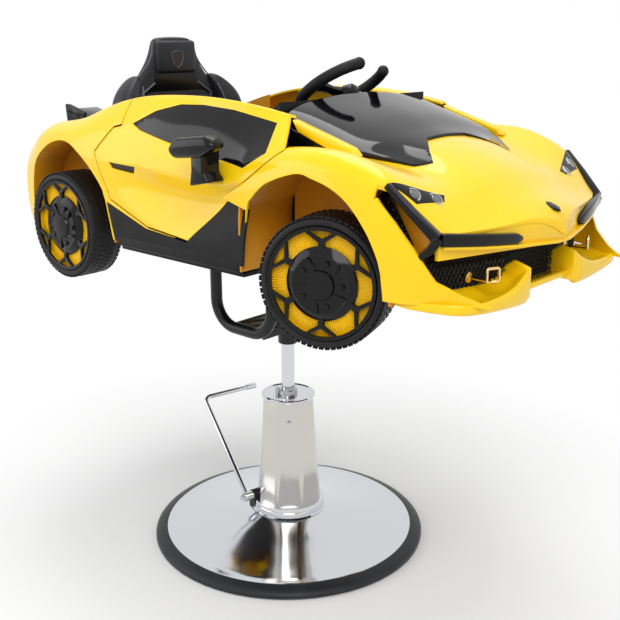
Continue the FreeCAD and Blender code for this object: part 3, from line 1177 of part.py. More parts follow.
def rounded_slab(outline, side, y0, y1, edge):
    """Side-view outline as a thick plate whose rims taper in by the edge size."""
    points = [body_point(x, 0, z) for x, z in outline]
    full = Part.makePolygon(points + [points[0]])
    small = full.makeOffset2D(-edge, 2)
    order = [(small, y0), (full, y0 + edge), (full, y1 - edge), (small, y1)]
    rings = []
    for wire, y in order:
        ring = wire.copy()
        ring.translate(V(0, side * y, 0))
        rings.append(Part.Wire(Part.__sortEdges__(ring.Edges)))
    parts = [Part.makeLoft(rings[i:i + 2], True, True) for i in range(3)]
    return fuse(parts)


def make_windscreen(body):
    pane = skin(screen_shares, WALL)
    outline = plan_outline(screen_plan_shares)
    wire = Part.makePolygon([V(x, y, 0) for x, y in outline + [outline[0]]])
    inner = Part.Face(wire.makeOffset2D(-SCREEN_GAP, 2)).extrude(V(0, 0, SILL_Z + BODY_H * 2))
    panes = [pane.common(inner)]
    for side in (-1, 1):
        points = [body_point(x, 0, z) for x, z in pane_shares]
        y = min(side * (PILLAR_OUT - WALL), side * PILLAR_OUT)
        panes.append(largest(plate([V(p.x, y, p.z) for p in points], V(0, WALL, 0)).cut(body)))
    return [largest(panes[0].cut(body))] + panes[1:]


def make_dash():
    face = WHEEL_AT + SHAFT_DIR * DASH_DROP
    slope = WHEEL_UP.z / WHEEL_UP.x

    def height(x):
        return face.z + (x - face.x) * slope
    back, front = DASH_BACK_X, DASH_FRONT_X
    outline = [V(back, -DASH_HALF, height(back)), V(front, -DASH_HALF, height(front)),
               V(front, -DASH_HALF, height(front) - DASH_DEPTH * 1.6),
               V(back, -DASH_HALF, height(back) - DASH_DEPTH)]
    dash = plate(outline, V(0, DASH_HALF * 2, 0))
    shrink = [V(back + WALL * 2, -DASH_HALF + WALL, height(back) - WALL),
              V(front - WALL, -DASH_HALF + WALL, height(front) - WALL * 2),
              V(front - WALL, -DASH_HALF + WALL, height(front) - DASH_DEPTH * 2),
              V(back + WALL * 2, -DASH_HALF + WALL, height(back) - DASH_DEPTH * 2)]
    dash = dash.cut(plate(shrink, V(0, (DASH_HALF - WALL) * 2, 0)))
    shaft = cylinder(STEER_SHAFT_R + FIT, SHAFT_L, WHEEL_AT, SHAFT_DIR)
    collar = cylinder(STEER_SHAFT_R * 2, DASH_DEPTH / 2, along_shaft(DASH_DROP + WALL / 2), SHAFT_DIR)
    save("dashboard", fuse([dash, collar]).cut(shaft))
    dial_x = face.x - DIAL_R * 2
    dials = []
    for i in (-1, 0, 1):
        at = V(dial_x, i * DIAL_GAP, height(dial_x))
        dials.append(tube(DIAL_R, DIAL_R - DIAL_LIP, DIAL_H, at, SHAFT_DIR * -1))
        dials.append(cylinder(DIAL_R - DIAL_LIP, DIAL_H / 2, at, SHAFT_DIR * -1))
    save("gauge_dials", dials)


def seat_ring(z_share, half_share, face_share, bolster_share):
    """Plan section of the seat back with its side bolsters, at one height."""
    z = FLOOR_Z + SILL_RISE + BODY_H * z_share
    half, face = HALF_W * half_share, HALF_L * face_share
    back, fore = face - SEAT_BACK_T, face + HALF_L * bolster_share
    near = [V(back, -half * 0.7, z), V((back + face) / 2, -half, z), V(face, -half, z),
            V(fore, -half * 0.9, z), V(fore, -half * 0.8, z), V(face, -half * 0.6, z)]
    far = [V(p.x, -p.y, p.z) for p in reversed(near)]
    return Part.makePolygon(near + far + [near[0]])


def make_seat():
    back = Part.makeLoft([seat_ring(*row) for row in seat_shares], True, True)
    floor = FLOOR_Z + SILL_RISE
    top = floor + SEAT_BASE_H
    rear = HALF_L * seat_shares[0][2]
    outline = [V(rear - SEAT_BACK_T / 2, -SEAT_HALF, floor),
               V(SEAT_BASE_X - SEAT_CROWN * 2, -SEAT_HALF, floor),
               V(SEAT_BASE_X, -SEAT_HALF, top - SEAT_CROWN * 2), V(SEAT_BASE_X - SEAT_CROWN, -SEAT_HALF, top),
               V(SEAT_BASE_X - SEAT_CROWN * 4, -SEAT_HALF, top + SEAT_CROWN),
               V(rear + SEAT_BACK_T, -SEAT_HALF, top - SEAT_CROWN / 2),
               V(rear - SEAT_BACK_T / 2, -SEAT_HALF, top)]
    cushion = plate(outline, V(0, SEAT_HALF * 2, 0))
    save("seat", fuse([back, cushion]))


def strut(start, end, width, height):
    """Flat bar from one point to another, its width square to the run and to the vertical."""
    run = (end - start).normalize()
    across = run.cross(V(0, 0, 1)).normalize() * (width / 2)
    up = across.cross(run).normalize()
    if up.z < 0:
        up = up * -1
    return plate([start - across, end - across, end + across, start + across], up * height)


FIN_Y = HALF_W * splitter_plan_shares[3][1]


def make_splitter():
    near = [(HALF_L * x, -HALF_W * y) for x, y in splitter_plan_shares]
    back = [(HALF_L * x, -HALF_W * y) for x, y in splitter_back_shares]
    tray = plan_prism(near + back, SILL_Z, SILL_Z + SPLITTER_T)
    fin_points = [body_point(x, 0, z) for x, z in nose_fin_shares]
    ear_points = [body_point(x, 0, z) for x, z in splitter_ear_shares]
    pieces = [tray, mirrored(tray)]
    for side in (-1, 1):
        low = side * FIN_Y - FIN_T / 2
        pieces.append(plate([V(p.x, low, p.z) for p in fin_points], V(0, FIN_T, 0)))
        ear_y = side * HALF_W * splitter_ear_y_share
        low = min(ear_y, ear_y - side * WALL)
        pieces.append(plate([V(p.x, low, p.z) for p in ear_points], V(0, WALL, 0)))
        y0, y1 = sorted(side * HALF_W * share for share in splitter_stay_shares)
        pieces.append(block(TUB_NOSE_X - SPLITTER_T, HALF_L * splitter_stay_x_share, y0, y1,
                            SILL_Z, SILL_Z + SPLITTER_T))
    save("front_splitter", fuse(pieces))


def mesh_panel(start, end, low, high):
    """Grille panel between two plan points, with a lattice of slots."""
    run = V(end[0] - start[0], end[1] - start[1], 0)
    length = run.Length
    along = V(run).normalize()
    normal = along.cross(V(0, 0, 1))
    base = V(start[0], start[1], low)
    rise = V(0, 0, high - low)
    panel = plate([base, base + run, base + run + rise, base + rise], normal * MESH_T)
    rows = max(1, int((high - low - MESH_BAR * 2) / (MESH_SLOT + MESH_BAR)))
    across = max(1, int((length - MESH_BAR) / (MESH_WIDE + MESH_BAR)))
    tall = (high - low - MESH_BAR * (rows + 1)) / rows
    wide = (length - MESH_BAR * (across + 1)) / across
    slots = []
    for row in range(rows):
        for i in range(across):
            at = base + along * (MESH_BAR + (wide + MESH_BAR) * i) - normal * OVER
            at = at + V(0, 0, MESH_BAR + (tall + MESH_BAR) * row)
            slots.append(plate([at, at + along * wide, at + along * wide + V(0, 0, tall), at + V(0, 0, tall)],
                               normal * (MESH_T + OVER * 2)))
    return panel.cut(Part.makeCompound(slots))


def make_grilles(fittings):
    low, high = SILL_Z + SPLITTER_T, SILL_Z + BODY_H * mesh_top_share
    beside = FIN_T / 2 + PANEL_GAP
    inner_x = HALF_L * mesh_inner_x_share
    corner = (HALF_L * mesh_corner_share[0], -HALF_W * mesh_corner_share[1])
    front = mesh_panel(corner, (inner_x, -FIN_Y - beside), low, high)
    middle = mesh_panel((inner_x, -FIN_Y + beside), (inner_x, FIN_Y - beside), low, high)
    back, fore = [(HALF_L * x, -HALF_W * y) for x, y in intake_shares]
    intake_low, intake_high = [SILL_Z + BODY_H * share for share in intake_height_shares]
    intake = mesh_panel(back, fore, intake_low, intake_high)
    panels = [front, mirrored(front), middle, intake, mirrored(intake)]
    for shape in fittings:
        panels = [panel.cut(shape) for panel in panels]
    save("front_grilles", [largest(panel) for panel in panels])


def make_trims():
    trims = []
    for side in (-1, 1):
        top, joint, foot, inner = [body_point(*share, side) for share in
                                   (trim_top_share, trim_joint_share, trim_foot_share, trim_inner_share)]
        bars = [strut(top, joint, TRIM_W, TRIM_H), strut(joint, foot, TRIM_W, TRIM_H),
                strut(joint, inner, TRIM_W * 1.2, TRIM_H * 1.6)]
        knot = cylinder(TRIM_W * 0.7, TRIM_H * 1.5, joint - V(0, 0, TRIM_H * 0.3))
        trims.append(fuse(bars + [knot]))
    return trims


def make_lamps():
    lamps = []
    for side in (-1, 1):
        ahead = V(lamp_axis_shares[0], side * lamp_axis_shares[1], lamp_axis_shares[2])
        for share in lamp_shares:
            at = body_point(*share, side) - V(ahead).normalize() * LAMP_SINK
            lamps.append(fuse([cylinder(LAMP_R, LAMP_H, at, ahead),
                               cylinder(LAMP_R * 0.75, LAMP_H * 1.25, at, ahead)]))
    return lamps


def make_tow_rings():
    rings = []
    for side in (-1, 1):
        at = body_point(*tow_share, side)
        ahead = V(tow_axis_shares[0], side * tow_axis_shares[1], 0).normalize()
        ring = tube(TOW_R + RING_BAR_R, TOW_R - RING_BAR_R, RING_BAR_R * 2, at - ahead * RING_BAR_R, ahead)
        foot = cylinder(RING_BAR_R * 0.9, TOW_FOOT_L, at - V(0, 0, TOW_R), V(-1, 0, 0))
        flange = cylinder(TOW_R * 0.8, RING_BAR_R * 2, at - V(TOW_FOOT_L, 0, TOW_R), V(1, 0, 0))
        rings.append(fuse([ring, foot, flange]))
    return rings


def make_tail(cabin_solid):
    fins = []
    fin_points = [body_point(x, 0, z) for x, z in rear_fin_shares]
    for side in (-1, 1):
        y0, y1 = sorted((side * REAR_FIN_IN, side * REAR_FIN_OUT))
        fin = plate([V(p.x, y0, p.z) for p in fin_points], V(0, y1 - y0, 0))
        fins.append(fin.cut(cabin_solid))
    save("rear_fins", fins)
    face_x = HALF_L * cabin_shares[0][0]
    lamp_y, lamp_z = HALF_W * tail_lamp_share[0], SILL_Z + BODY_H * tail_lamp_share[1]
    lamps = []
    for side in (-1, 1):
        y0, y1 = sorted((side * (lamp_y - TAIL_LAMP_W), side * lamp_y))
        lamps.append(block(face_x - TAIL_LAMP_T, face_x, y0, y1, lamp_z, lamp_z + TAIL_LAMP_H))
    save("tail_lights", lamps)
    back = face_x + WALL
    pieces = [block(back, TUB_TAIL_X, -DIFFUSER_HALF, DIFFUSER_HALF, FLOOR_Z, SILL_Z)]
    for i in range(DIFFUSER_FINS):
        y = -DIFFUSER_HALF + DIFFUSER_HALF * 2 * (i + 0.5) / DIFFUSER_FINS
        pieces.append(block(back, TUB_TAIL_X, y - WALL / 2, y + WALL / 2, SILL_Z, SILL_Z + DIFFUSER_H / 2))
    save("rear_diffuser", fuse(pieces))


def make_body(lamps, trims):
    cabin_skin = skin(cabin_shares, WALL)
    nose_skin = skin(nose_shares, WALL)
    cabin_core = envelope(cabin_shares, WALL / 2)
    nose_core = envelope(nose_shares, WALL / 2)
    front = make_front_body(nose_skin, nose_core, lamps, trims)
    save("rear_body", make_rear_body(cabin_skin, cabin_core))
    save("front_body", front)
    save("door_hinge_pins", [hinge_pin(side) for side in (-1, 1)])
    save("side_skirts", make_skirts(cabin_skin))
    make_doors(cabin_skin, cabin_core)
    save("windscreen", make_windscreen(front))
    save("headlamps", lamps)
    save("light_trims", trims)
    make_tail(envelope(cabin_shares))


base_bolts = [base_bolt(360 * i / BASE_BOLT_COUNT + BASE_BOLT_TURN + PUMP_YAW)
              for i in range(BASE_BOLT_COUNT)]
make_base(Part.makeCompound(base_bolts))
make_pump(base_bolts)
make_pedal()
frame_bolts = make_frame()
make_tub(frame_bolts)
make_axles()
make_steering()
make_wheels()
light_trims = make_trims()
make_body(make_lamps(), light_trims)
make_dash()
make_seat()
make_splitter()
tow_rings = make_tow_rings()
save("tow_rings", tow_rings)
make_grilles(tow_rings + light_trims)
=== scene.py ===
import json
import math
import bmesh
import bpy
from mathutils import Matrix, Vector


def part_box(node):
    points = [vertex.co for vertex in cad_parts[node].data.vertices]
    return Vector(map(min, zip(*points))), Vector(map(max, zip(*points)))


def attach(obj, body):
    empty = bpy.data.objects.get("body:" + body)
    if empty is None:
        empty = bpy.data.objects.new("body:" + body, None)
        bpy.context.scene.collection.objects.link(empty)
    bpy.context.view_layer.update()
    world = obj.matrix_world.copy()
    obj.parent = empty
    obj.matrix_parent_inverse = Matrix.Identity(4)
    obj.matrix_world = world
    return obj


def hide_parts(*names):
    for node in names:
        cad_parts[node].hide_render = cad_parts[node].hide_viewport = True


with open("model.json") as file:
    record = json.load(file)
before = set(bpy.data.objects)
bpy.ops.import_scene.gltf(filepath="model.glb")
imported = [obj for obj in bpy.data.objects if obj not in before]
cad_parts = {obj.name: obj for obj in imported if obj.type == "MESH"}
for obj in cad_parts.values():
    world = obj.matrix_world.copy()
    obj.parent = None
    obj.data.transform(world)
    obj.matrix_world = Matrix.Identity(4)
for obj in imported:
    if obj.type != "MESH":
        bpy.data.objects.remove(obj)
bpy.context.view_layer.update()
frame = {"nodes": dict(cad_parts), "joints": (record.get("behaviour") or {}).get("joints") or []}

bl_info = {
    "name": "Kids car barber chair",
    "version": (1, 0, 0),
    "blender": (4, 5, 0),
    "location": "View3D > Sidebar > Car chair",
    "description": "Builds the finished look of a child's car chair around its packed frame",
    "category": "Object",
}

joints = {joint["name"]: joint for joint in frame["joints"]}
finishes = {}

# Sizes of the car body in metres, all but the wing's reach, which is a share. The sill and the
# floor are read from the frame.
HALF_L = 0.600
HALF_W = 0.300
BODY_H = 0.300
SILL_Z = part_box("side_skirts")[0].z
FLOOR_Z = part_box("chassis_tub")[0].z
BODY_TOP = SILL_Z + BODY_H * 2
WALL = 0.004
SHUT_GAP = 0.004
SEAT_FACE_X = -0.338
WING_REACH = 0.62
COCKPIT_HALF = 0.214
COCKPIT_FRONT = 0.190
COCKPIT_REAR = -0.385
TUB_REAR_HALF = 0.195
TUB_FRONT_HALF = 0.165
SMOOTH_STEPS = 2
SIDES = ((-1, "right"), (1, "left"))

# Wheels, in metres
TYRE_W = 0.077
RIM_R = 0.0966
WHEEL_FACE_Y = 0.290

# Steering wheel, in metres and degrees
GRIP_REACH = 0.087
GRIP_R = 0.0105
GRIP_END = 40
STEERING_REST = 17.25

# Stage: floor's fade to white, light from the world, and the camera
FLOOR_FADE = (0.45, 1.1)
SKY_LIGHT = 0.55
PICTURE_PX = 620.0
FOCAL_PX = 944.0
SENSOR_MM = 36.0
CAMERA_SPOT = (1.3327, -1.4037, 1.0831)
CAMERA_AROUND = 42.1
CAMERA_OVER = 16.4

# Stations of the body from tail to nose. Each row is the place along the car, then the near
# half of the section from the sill up and in to the centre line, as shares of half the car's
# length, half its width and its height above the sill.
cabin_shares = (
    (-0.920, (0.860, 0.047), (0.873, 0.163), (0.873, 0.297), (0.860, 0.413), (0.817, 0.520),
     (0.750, 0.580), (0.617, 0.600), (0.0, 0.647)),
    (-0.865, (0.887, 0.040), (0.900, 0.163), (0.900, 0.313), (0.893, 0.463), (0.853, 0.573),
     (0.773, 0.633), (0.633, 0.653), (0.0, 0.707)),
    (-0.800, (0.920, 0.040), (0.933, 0.180), (0.937, 0.347), (0.933, 0.513), (0.893, 0.640),
     (0.800, 0.700), (0.650, 0.713), (0.0, 0.773)),
    (-0.717, (0.947, 0.040), (0.953, 0.193), (0.957, 0.380), (0.957, 0.580), (0.913, 0.687),
     (0.820, 0.747), (0.667, 0.753), (0.0, 0.820)),
    (-0.577, (0.973, 0.030), (0.977, 0.200), (0.977, 0.413), (0.977, 0.607), (0.933, 0.713),
     (0.833, 0.780), (0.707, 0.793), (0.0, 0.850)),
    (-0.483, (0.983, 0.020), (0.990, 0.200), (0.990, 0.400), (0.990, 0.587), (0.940, 0.723),
     (0.827, 0.840), (0.713, 0.847), (0.0, 0.860)),
    (-0.385, (0.987, 0.020), (0.993, 0.200), (0.995, 0.400), (0.997, 0.573), (0.933, 0.737),
     (0.810, 0.900), (0.713, 0.907), (0.0, 0.860)),
    (-0.257, (0.985, 0.050), (0.993, 0.300), (0.975, 0.430), (1.000, 0.553), (0.920, 0.763),
     (0.800, 0.947), (0.713, 0.953), (0.0, 0.860)),
    (-0.103, (0.980, 0.060), (0.990, 0.190), (0.893, 0.400), (1.000, 0.540), (0.945, 0.723),
     (0.793, 0.967), (0.710, 0.970), (0.0, 0.860)),
    (0.072, (0.985, 0.050), (0.993, 0.170), (0.873, 0.380), (0.997, 0.500), (0.940, 0.680),
     (0.787, 0.967), (0.707, 0.967), (0.0, 0.860)),
    (0.235, (0.985, 0.050), (0.990, 0.220), (0.920, 0.420), (0.993, 0.520), (0.945, 0.650),
     (0.780, 0.940), (0.703, 0.940), (0.0, 0.860)),
    (0.342, (0.990, 0.050), (0.993, 0.300), (0.980, 0.450), (0.993, 0.580), (0.957, 0.690),
     (0.773, 0.913), (0.700, 0.913), (0.0, 0.860)),
    (0.437, (0.990, 0.050), (1.000, 0.350), (1.000, 0.500), (1.000, 0.600), (0.967, 0.713),
     (0.767, 0.880), (0.697, 0.880), (0.0, 0.860)),
)
nose_shares = (
    (0.205, (0.990, 0.050), (0.995, 0.300), (0.993, 0.420), (0.985, 0.500), (0.955, 0.560),
     (0.900, 0.600), (0.600, 0.600), (0.0, 0.600)),
    (0.310, (0.993, 0.050), (1.000, 0.350), (1.000, 0.480), (0.987, 0.580), (0.933, 0.653),
     (0.850, 0.680), (0.600, 0.680), (0.0, 0.680)),
    (0.400, (1.000, 0.050), (1.007, 0.400), (1.007, 0.580), (0.973, 0.687), (0.893, 0.747),
     (0.773, 0.727), (0.600, 0.713), (0.0, 0.720)),
    (0.525, (1.010, 0.050), (1.017, 0.400), (1.017, 0.620), (0.990, 0.720), (0.893, 0.773),
     (0.717, 0.723), (0.500, 0.740), (0.0, 0.757)),
    (0.628, (1.010, 0.050), (1.017, 0.400), (1.013, 0.587), (0.993, 0.687), (0.893, 0.770),
     (0.653, 0.687), (0.383, 0.753), (0.0, 0.783)),
    (0.717, (1.010, 0.050), (1.013, 0.350), (1.010, 0.497), (0.987, 0.640), (0.887, 0.723),
     (0.550, 0.640), (0.327, 0.710), (0.0, 0.737)),
    (0.797, (1.000, 0.040), (1.010, 0.250), (1.000, 0.463), (0.960, 0.600), (0.860, 0.643),
     (0.527, 0.597), (0.300, 0.650), (0.0, 0.677)),
    (0.867, (0.967, 0.040), (0.973, 0.200), (0.943, 0.397), (0.913, 0.473), (0.793, 0.510),
     (0.493, 0.540), (0.280, 0.583), (0.0, 0.607)),
    (0.927, (0.893, 0.040), (0.893, 0.200), (0.867, 0.330), (0.857, 0.370), (0.750, 0.403),
     (0.467, 0.453), (0.253, 0.497), (0.0, 0.520)),
    (0.997, (0.800, 0.040), (0.800, 0.200), (0.800, 0.270), (0.790, 0.307), (0.683, 0.330),
     (0.433, 0.380), (0.233, 0.430), (0.0, 0.457)),
    (1.030, (0.770, 0.040), (0.770, 0.150), (0.770, 0.250), (0.760, 0.280), (0.660, 0.300),
     (0.417, 0.330), (0.227, 0.373), (0.0, 0.397)),
    (1.053, (0.750, 0.040), (0.750, 0.150), (0.750, 0.235), (0.740, 0.245), (0.640, 0.255),
     (0.400, 0.270), (0.220, 0.283), (0.0, 0.290)),
)
screen_shares = (
    (0.313, (0.683, 0.905), (0.600, 0.943), (0.333, 0.983), (0.0, 1.000)),
    (0.370, (0.690, 0.873), (0.600, 0.918), (0.333, 0.950), (0.0, 0.965)),
    (0.500, (0.700, 0.795), (0.600, 0.838), (0.333, 0.875), (0.0, 0.890)),
    (0.585, (0.700, 0.743), (0.600, 0.775), (0.333, 0.810), (0.0, 0.825)),
    (0.645, (0.620, 0.707), (0.500, 0.727), (0.300, 0.770), (0.0, 0.790)),
    (0.738, (0.550, 0.640), (0.430, 0.658), (0.250, 0.715), (0.0, 0.730)),
)

# Outlines in side view, as shares of half the car's length and of its height above the sill
door_shares = ((-0.308, 0.990), (-0.300, 0.777), (-0.338, 0.760), (-0.400, 0.603), (-0.325, 0.307),
               (-0.142, 0.173), (0.052, 0.137), (0.220, 0.450), (0.317, 0.570), (0.430, 0.740),
               (0.347, 0.990))
window_shares = ((-0.250, 0.797), (-0.158, 0.885), (-0.058, 0.932), (0.042, 0.938), (0.167, 0.922),
                 (0.350, 0.868), (0.368, 0.715), (0.287, 0.618), (0.150, 0.653), (-0.053, 0.710),
                 (-0.203, 0.763))
rear_arch_shares = ((-0.865, -0.100), (-0.862, 0.147), (-0.825, 0.423), (-0.733, 0.570),
                    (-0.647, 0.637), (-0.560, 0.633), (-0.468, 0.543), (-0.402, 0.437),
                    (-0.357, 0.293), (-0.317, -0.100))
front_arch_shares = ((0.290, -0.100), (0.293, 0.100), (0.318, 0.403), (0.338, 0.467),
                     (0.385, 0.547), (0.452, 0.603), (0.522, 0.637), (0.568, 0.620),
                     (0.628, 0.587), (0.687, 0.523), (0.738, 0.423), (0.773, 0.323),
                     (0.800, 0.183), (0.810, -0.100))
skirt_shares = ((-0.347, 0.277), (-0.317, 0.023), (-0.267, 0.013), (0.288, 0.013), (0.293, 0.100),
                (0.310, 0.385), (0.213, 0.430), (0.045, 0.120), (-0.150, 0.150))
vent_shares = ((-0.323, 0.550), (-0.309, 0.513), (-0.205, 0.493), (-0.188, 0.542))
front_liner_shares = ((0.283, -0.100), (0.283, 0.340), (0.302, 0.440), (0.350, 0.550), (0.430, 0.640),
                      (0.522, 0.672), (0.620, 0.640), (0.710, 0.540), (0.775, 0.400), (0.812, 0.200),
                      (0.822, -0.100))
mouth_shares = ((0.775, 0.563), (0.828, 0.452), (0.874, 0.330), (0.915, 0.203), (0.928, 0.163),
                (0.950, 0.137), (0.988, 0.093), (1.030, 0.060), (1.100, 0.060), (1.100, 0.307),
                (0.917, 0.307), (0.800, 0.545))
cheek_shares = ((0.700, -0.100), (0.700, 0.400), (0.775, 0.563), (0.828, 0.452), (0.874, 0.330),
                (0.915, 0.203), (0.928, 0.163), (0.950, 0.137), (0.988, 0.093), (1.030, 0.060),
                (1.100, 0.060), (1.100, -0.100))
inner_fin_shares = ((0.7775, 0.577), (0.909, 0.367), (0.863, 0.238), (0.847, 0.332))
side_strip_shares = ((0.750, 0.560), (0.778, 0.596), (0.863, 0.332), (0.840, 0.300))
pillar_shares = ((0.330, 0.930), (0.360, 0.905), (0.600, 0.762), (0.625, 0.718), (0.560, 0.712),
                 (0.345, 0.865))
pane_shares = ((0.352, 0.862), (0.380, 0.715), (0.556, 0.705))
mirror_shares = ((0.082, 0.713), (0.119, 0.783), (0.255, 0.813), (0.290, 0.753), (0.223, 0.687),
                 (0.107, 0.660))
stalk_shares = ((0.146, 0.505), (0.228, 0.540), (0.206, 0.590), (0.208, 0.720), (0.155, 0.720),
                (0.155, 0.600))
rear_fin_shares = ((-0.812, 0.690), (-0.820, 0.817), (-0.795, 0.817), (-0.703, 0.770), (-0.700, 0.740))
nose_fin_shares = ((0.850, 0.000), (0.880, 0.060), (0.970, 0.183), (1.020, 0.153), (1.020, -0.020),
                   (0.900, -0.020))

# Outlines in plan, as shares of half the length and half the width
edge_plan_shares = ((0.769, 0.960), (0.923, 0.850), (1.045, 0.000))
# Splitter sections: half width, front, underside, lip, hollow, rear edge and its height
scoop_shares = (
    (0.955, 0.860, 0.006, 0.040, 0.030, 0.800, 0.040),
    (0.900, 0.960, 0.000, 0.062, 0.035, 0.850, 0.060),
    (0.840, 1.012, -0.006, 0.055, 0.030, 0.870, 0.070),
    (0.660, 1.022, -0.022, 0.045, 0.015, 0.885, 0.070),
    (0.480, 1.026, -0.036, 0.058, 0.010, 0.905, 0.075),
    (0.360, 1.026, -0.045, 0.095, 0.020, 0.925, 0.085),
    (0.285, 1.023, -0.050, 0.145, 0.060, 0.940, 0.110),
    (0.262, 1.020, -0.050, 0.150, 0.080, 0.945, 0.120),
)
screen_plan_shares = ((0.313, 0.683), (0.585, 0.700), (0.713, 0.500), (0.738, 0.390), (0.697, 0.313),
                      (0.645, 0.190), (0.645, 0.000))
pocket_plan_shares = ((0.790, 0.935), (0.855, 0.619), (0.868, 0.655), (0.852, 0.852))

# Seat back: height over the sill as a share of the body height, half width, and how far its front
# stands ahead of the plate's face as a share of half the length
seat_plate_shares = (
    (0.38, 0.500, 0.010), (0.75, 0.500, 0.006), (0.93, 0.440, 0.003), (1.03, 0.345, 0.0),
    (1.17, 0.220, 0.0), (1.29, 0.190, 0.0), (1.325, 0.150, 0.0),
)
# Side wings: height, inner and outer edge, and how far they stand forward
seat_wing_shares = (
    (0.38, 0.400, 0.590, 0.1150), (0.62, 0.400, 0.600, 0.1220), (0.78, 0.390, 0.600, 0.1200),
    (0.90, 0.370, 0.575, 0.1000), (0.985, 0.345, 0.500, 0.0700), (1.060, 0.315, 0.385, 0.0300),
)
# Dark slot under the head pad and the bare shield place, as (across, up) points
seat_slot_shares = ((0.190, 1.075), (0.205, 1.000), (0.335, 0.920), (0.335, 0.870), (-0.335, 0.870),
                    (-0.335, 0.920), (-0.205, 1.000), (-0.190, 1.075))
shield_shares = ((-0.054, 0.050), (0.0, 0.062), (0.054, 0.050), (0.050, -0.006), (0.030, -0.038),
                 (0.0, -0.060), (-0.030, -0.038), (-0.050, -0.006))


class CarChairFinish(bpy.types.PropertyGroup):
    """Colours and surface settings of the chair."""

    paint_color: bpy.props.FloatVectorProperty(
        name="Paint", description="Colour of the car body", subtype="COLOR",
        size=3, min=0.0, max=1.0, default=(0.960, 0.620, 0.003))
    dark_color: bpy.props.FloatVectorProperty(
        name="Dark trim", description="Colour of the black plastic", subtype="COLOR",
        size=3, min=0.0, max=1.0, default=(0.007, 0.007, 0.008))
    seat_color: bpy.props.FloatVectorProperty(
        name="Seat", description="Colour of the seat cover", subtype="COLOR",
        size=3, min=0.0, max=1.0, default=(0.012, 0.012, 0.015))
    paint_gloss: bpy.props.FloatProperty(
        name="Paint gloss", description="Strength of the clear coat on the body", subtype="FACTOR",
        min=0.0, max=1.0, default=0.45)


class CarChairSizes(bpy.types.PropertyGroup):
    """Sizes of the fine forms that the frame leaves plain."""

    panel_edge: bpy.props.FloatProperty(
        name="Panel edge", description="Rounding of the body panels' edges", unit="LENGTH",
        min=0.0, max=0.004, default=0.0012, precision=4)
    mesh_cell: bpy.props.FloatProperty(
        name="Grille cell", description="Width of one honeycomb cell", unit="LENGTH",
        min=0.004, max=0.02, default=0.0105, precision=4)
    rib_count: bpy.props.IntProperty(
        name="Disc ribs", description="Fine radial ribs round a wheel disc", min=24, max=240, default=120)
    tread_count: bpy.props.IntProperty(
        name="Tread blocks", description="Blocks round a tyre", min=24, max=120, default=64)
    piping: bpy.props.FloatProperty(
        name="Piping", description="Radius of the seat's piping", unit="LENGTH",
        min=0.0005, max=0.004, default=0.0016, precision=4)


# Shader expressions
class Field:
    """A shader socket that can be multiplied, compared and moved to another range."""

    def __init__(self, tree, socket):
        self.tree = tree
        self.socket = socket

    def math(self, operation, other):
        return self.tree.node("ShaderNodeMath", {"operation": operation}, {0: self, 1: other})

    def __mul__(self, other):
        return self.math("MULTIPLY", other)

    def most(self, other):
        return self.math("MAXIMUM", other)

    def ramp(self, low, high, start=0.0, end=1.0):
        """The value moved from one range to another and held inside it."""
        return self.tree.node("ShaderNodeMapRange", {"clamp": True},
                              {0: self, 1: low, 2: high, 3: start, 4: end})


class Tree:
    """A node tree with short ways to add nodes."""

    def __init__(self, tree):
        self.tree = tree

    def feed(self, socket, value):
        if isinstance(value, Field):
            self.tree.links.new(value.socket, socket)
        else:
            socket.default_value = value

    def node(self, kind, settings, inputs, output=0):
        made = self.tree.nodes.new(kind)
        for name, value in settings.items():
            setattr(made, name, value)
        for name, value in inputs.items():
            self.feed(made.inputs[name], value)
        return Field(self, made.outputs[output])

    def ray(self, kind):
        return self.node("ShaderNodeLightPath", {}, {}, f"Is {kind} Ray")


class Finish(Tree):
    """A material with its principled shader."""

    def __init__(self, name, color, roughness, **sockets):
        self.material = bpy.data.materials.new(name)
        self.material.use_nodes = True
        super().__init__(self.material.node_tree)
        self.shader = self.tree.nodes["Principled BSDF"]
        self.color = (*color, 1.0)
        self.set("Base Color", self.color)
        self.set("Roughness", roughness)
        for label, value in sockets.items():
            self.set(label.replace("_", " ").title().replace("Ior", "IOR"), value)
        self.place = self.node("ShaderNodeTexCoord", {}, {}, "Object")
        finishes[name] = self.material

    def set(self, name, value):
        self.feed(self.shader.inputs[name], value)

    def noise(self, scale, detail=3.0, place=None):
        return self.node("ShaderNodeTexNoise", {}, {"Vector": place or self.place, "Scale": scale,
                                                    "Detail": detail, "Roughness": 0.55})

    def cells(self, scale):
        return self.node("ShaderNodeTexVoronoi", {}, {"Vector": self.place, "Scale": scale}, "Distance")

    def stretched(self, *scales):
        """Object coordinates, scaled along each axis."""
        return self.node("ShaderNodeVectorMath", {"operation": "MULTIPLY"}, {0: self.place, 1: scales})

    def tint(self, amount, color):
        """Base colour moved towards another by the amount."""
        self.set("Base Color", self.node("ShaderNodeMix", {"data_type": "RGBA"},
                                         {"Factor": amount, 6: self.color, 7: (*color, 1.0)}, 2))

    def relief(self, height, distance, strength=1.0):
        """Surface relief of the given depth in metres."""
        self.set("Normal", self.node("ShaderNodeBump", {}, {"Height": height, "Distance": distance,
                                                            "Strength": strength}))


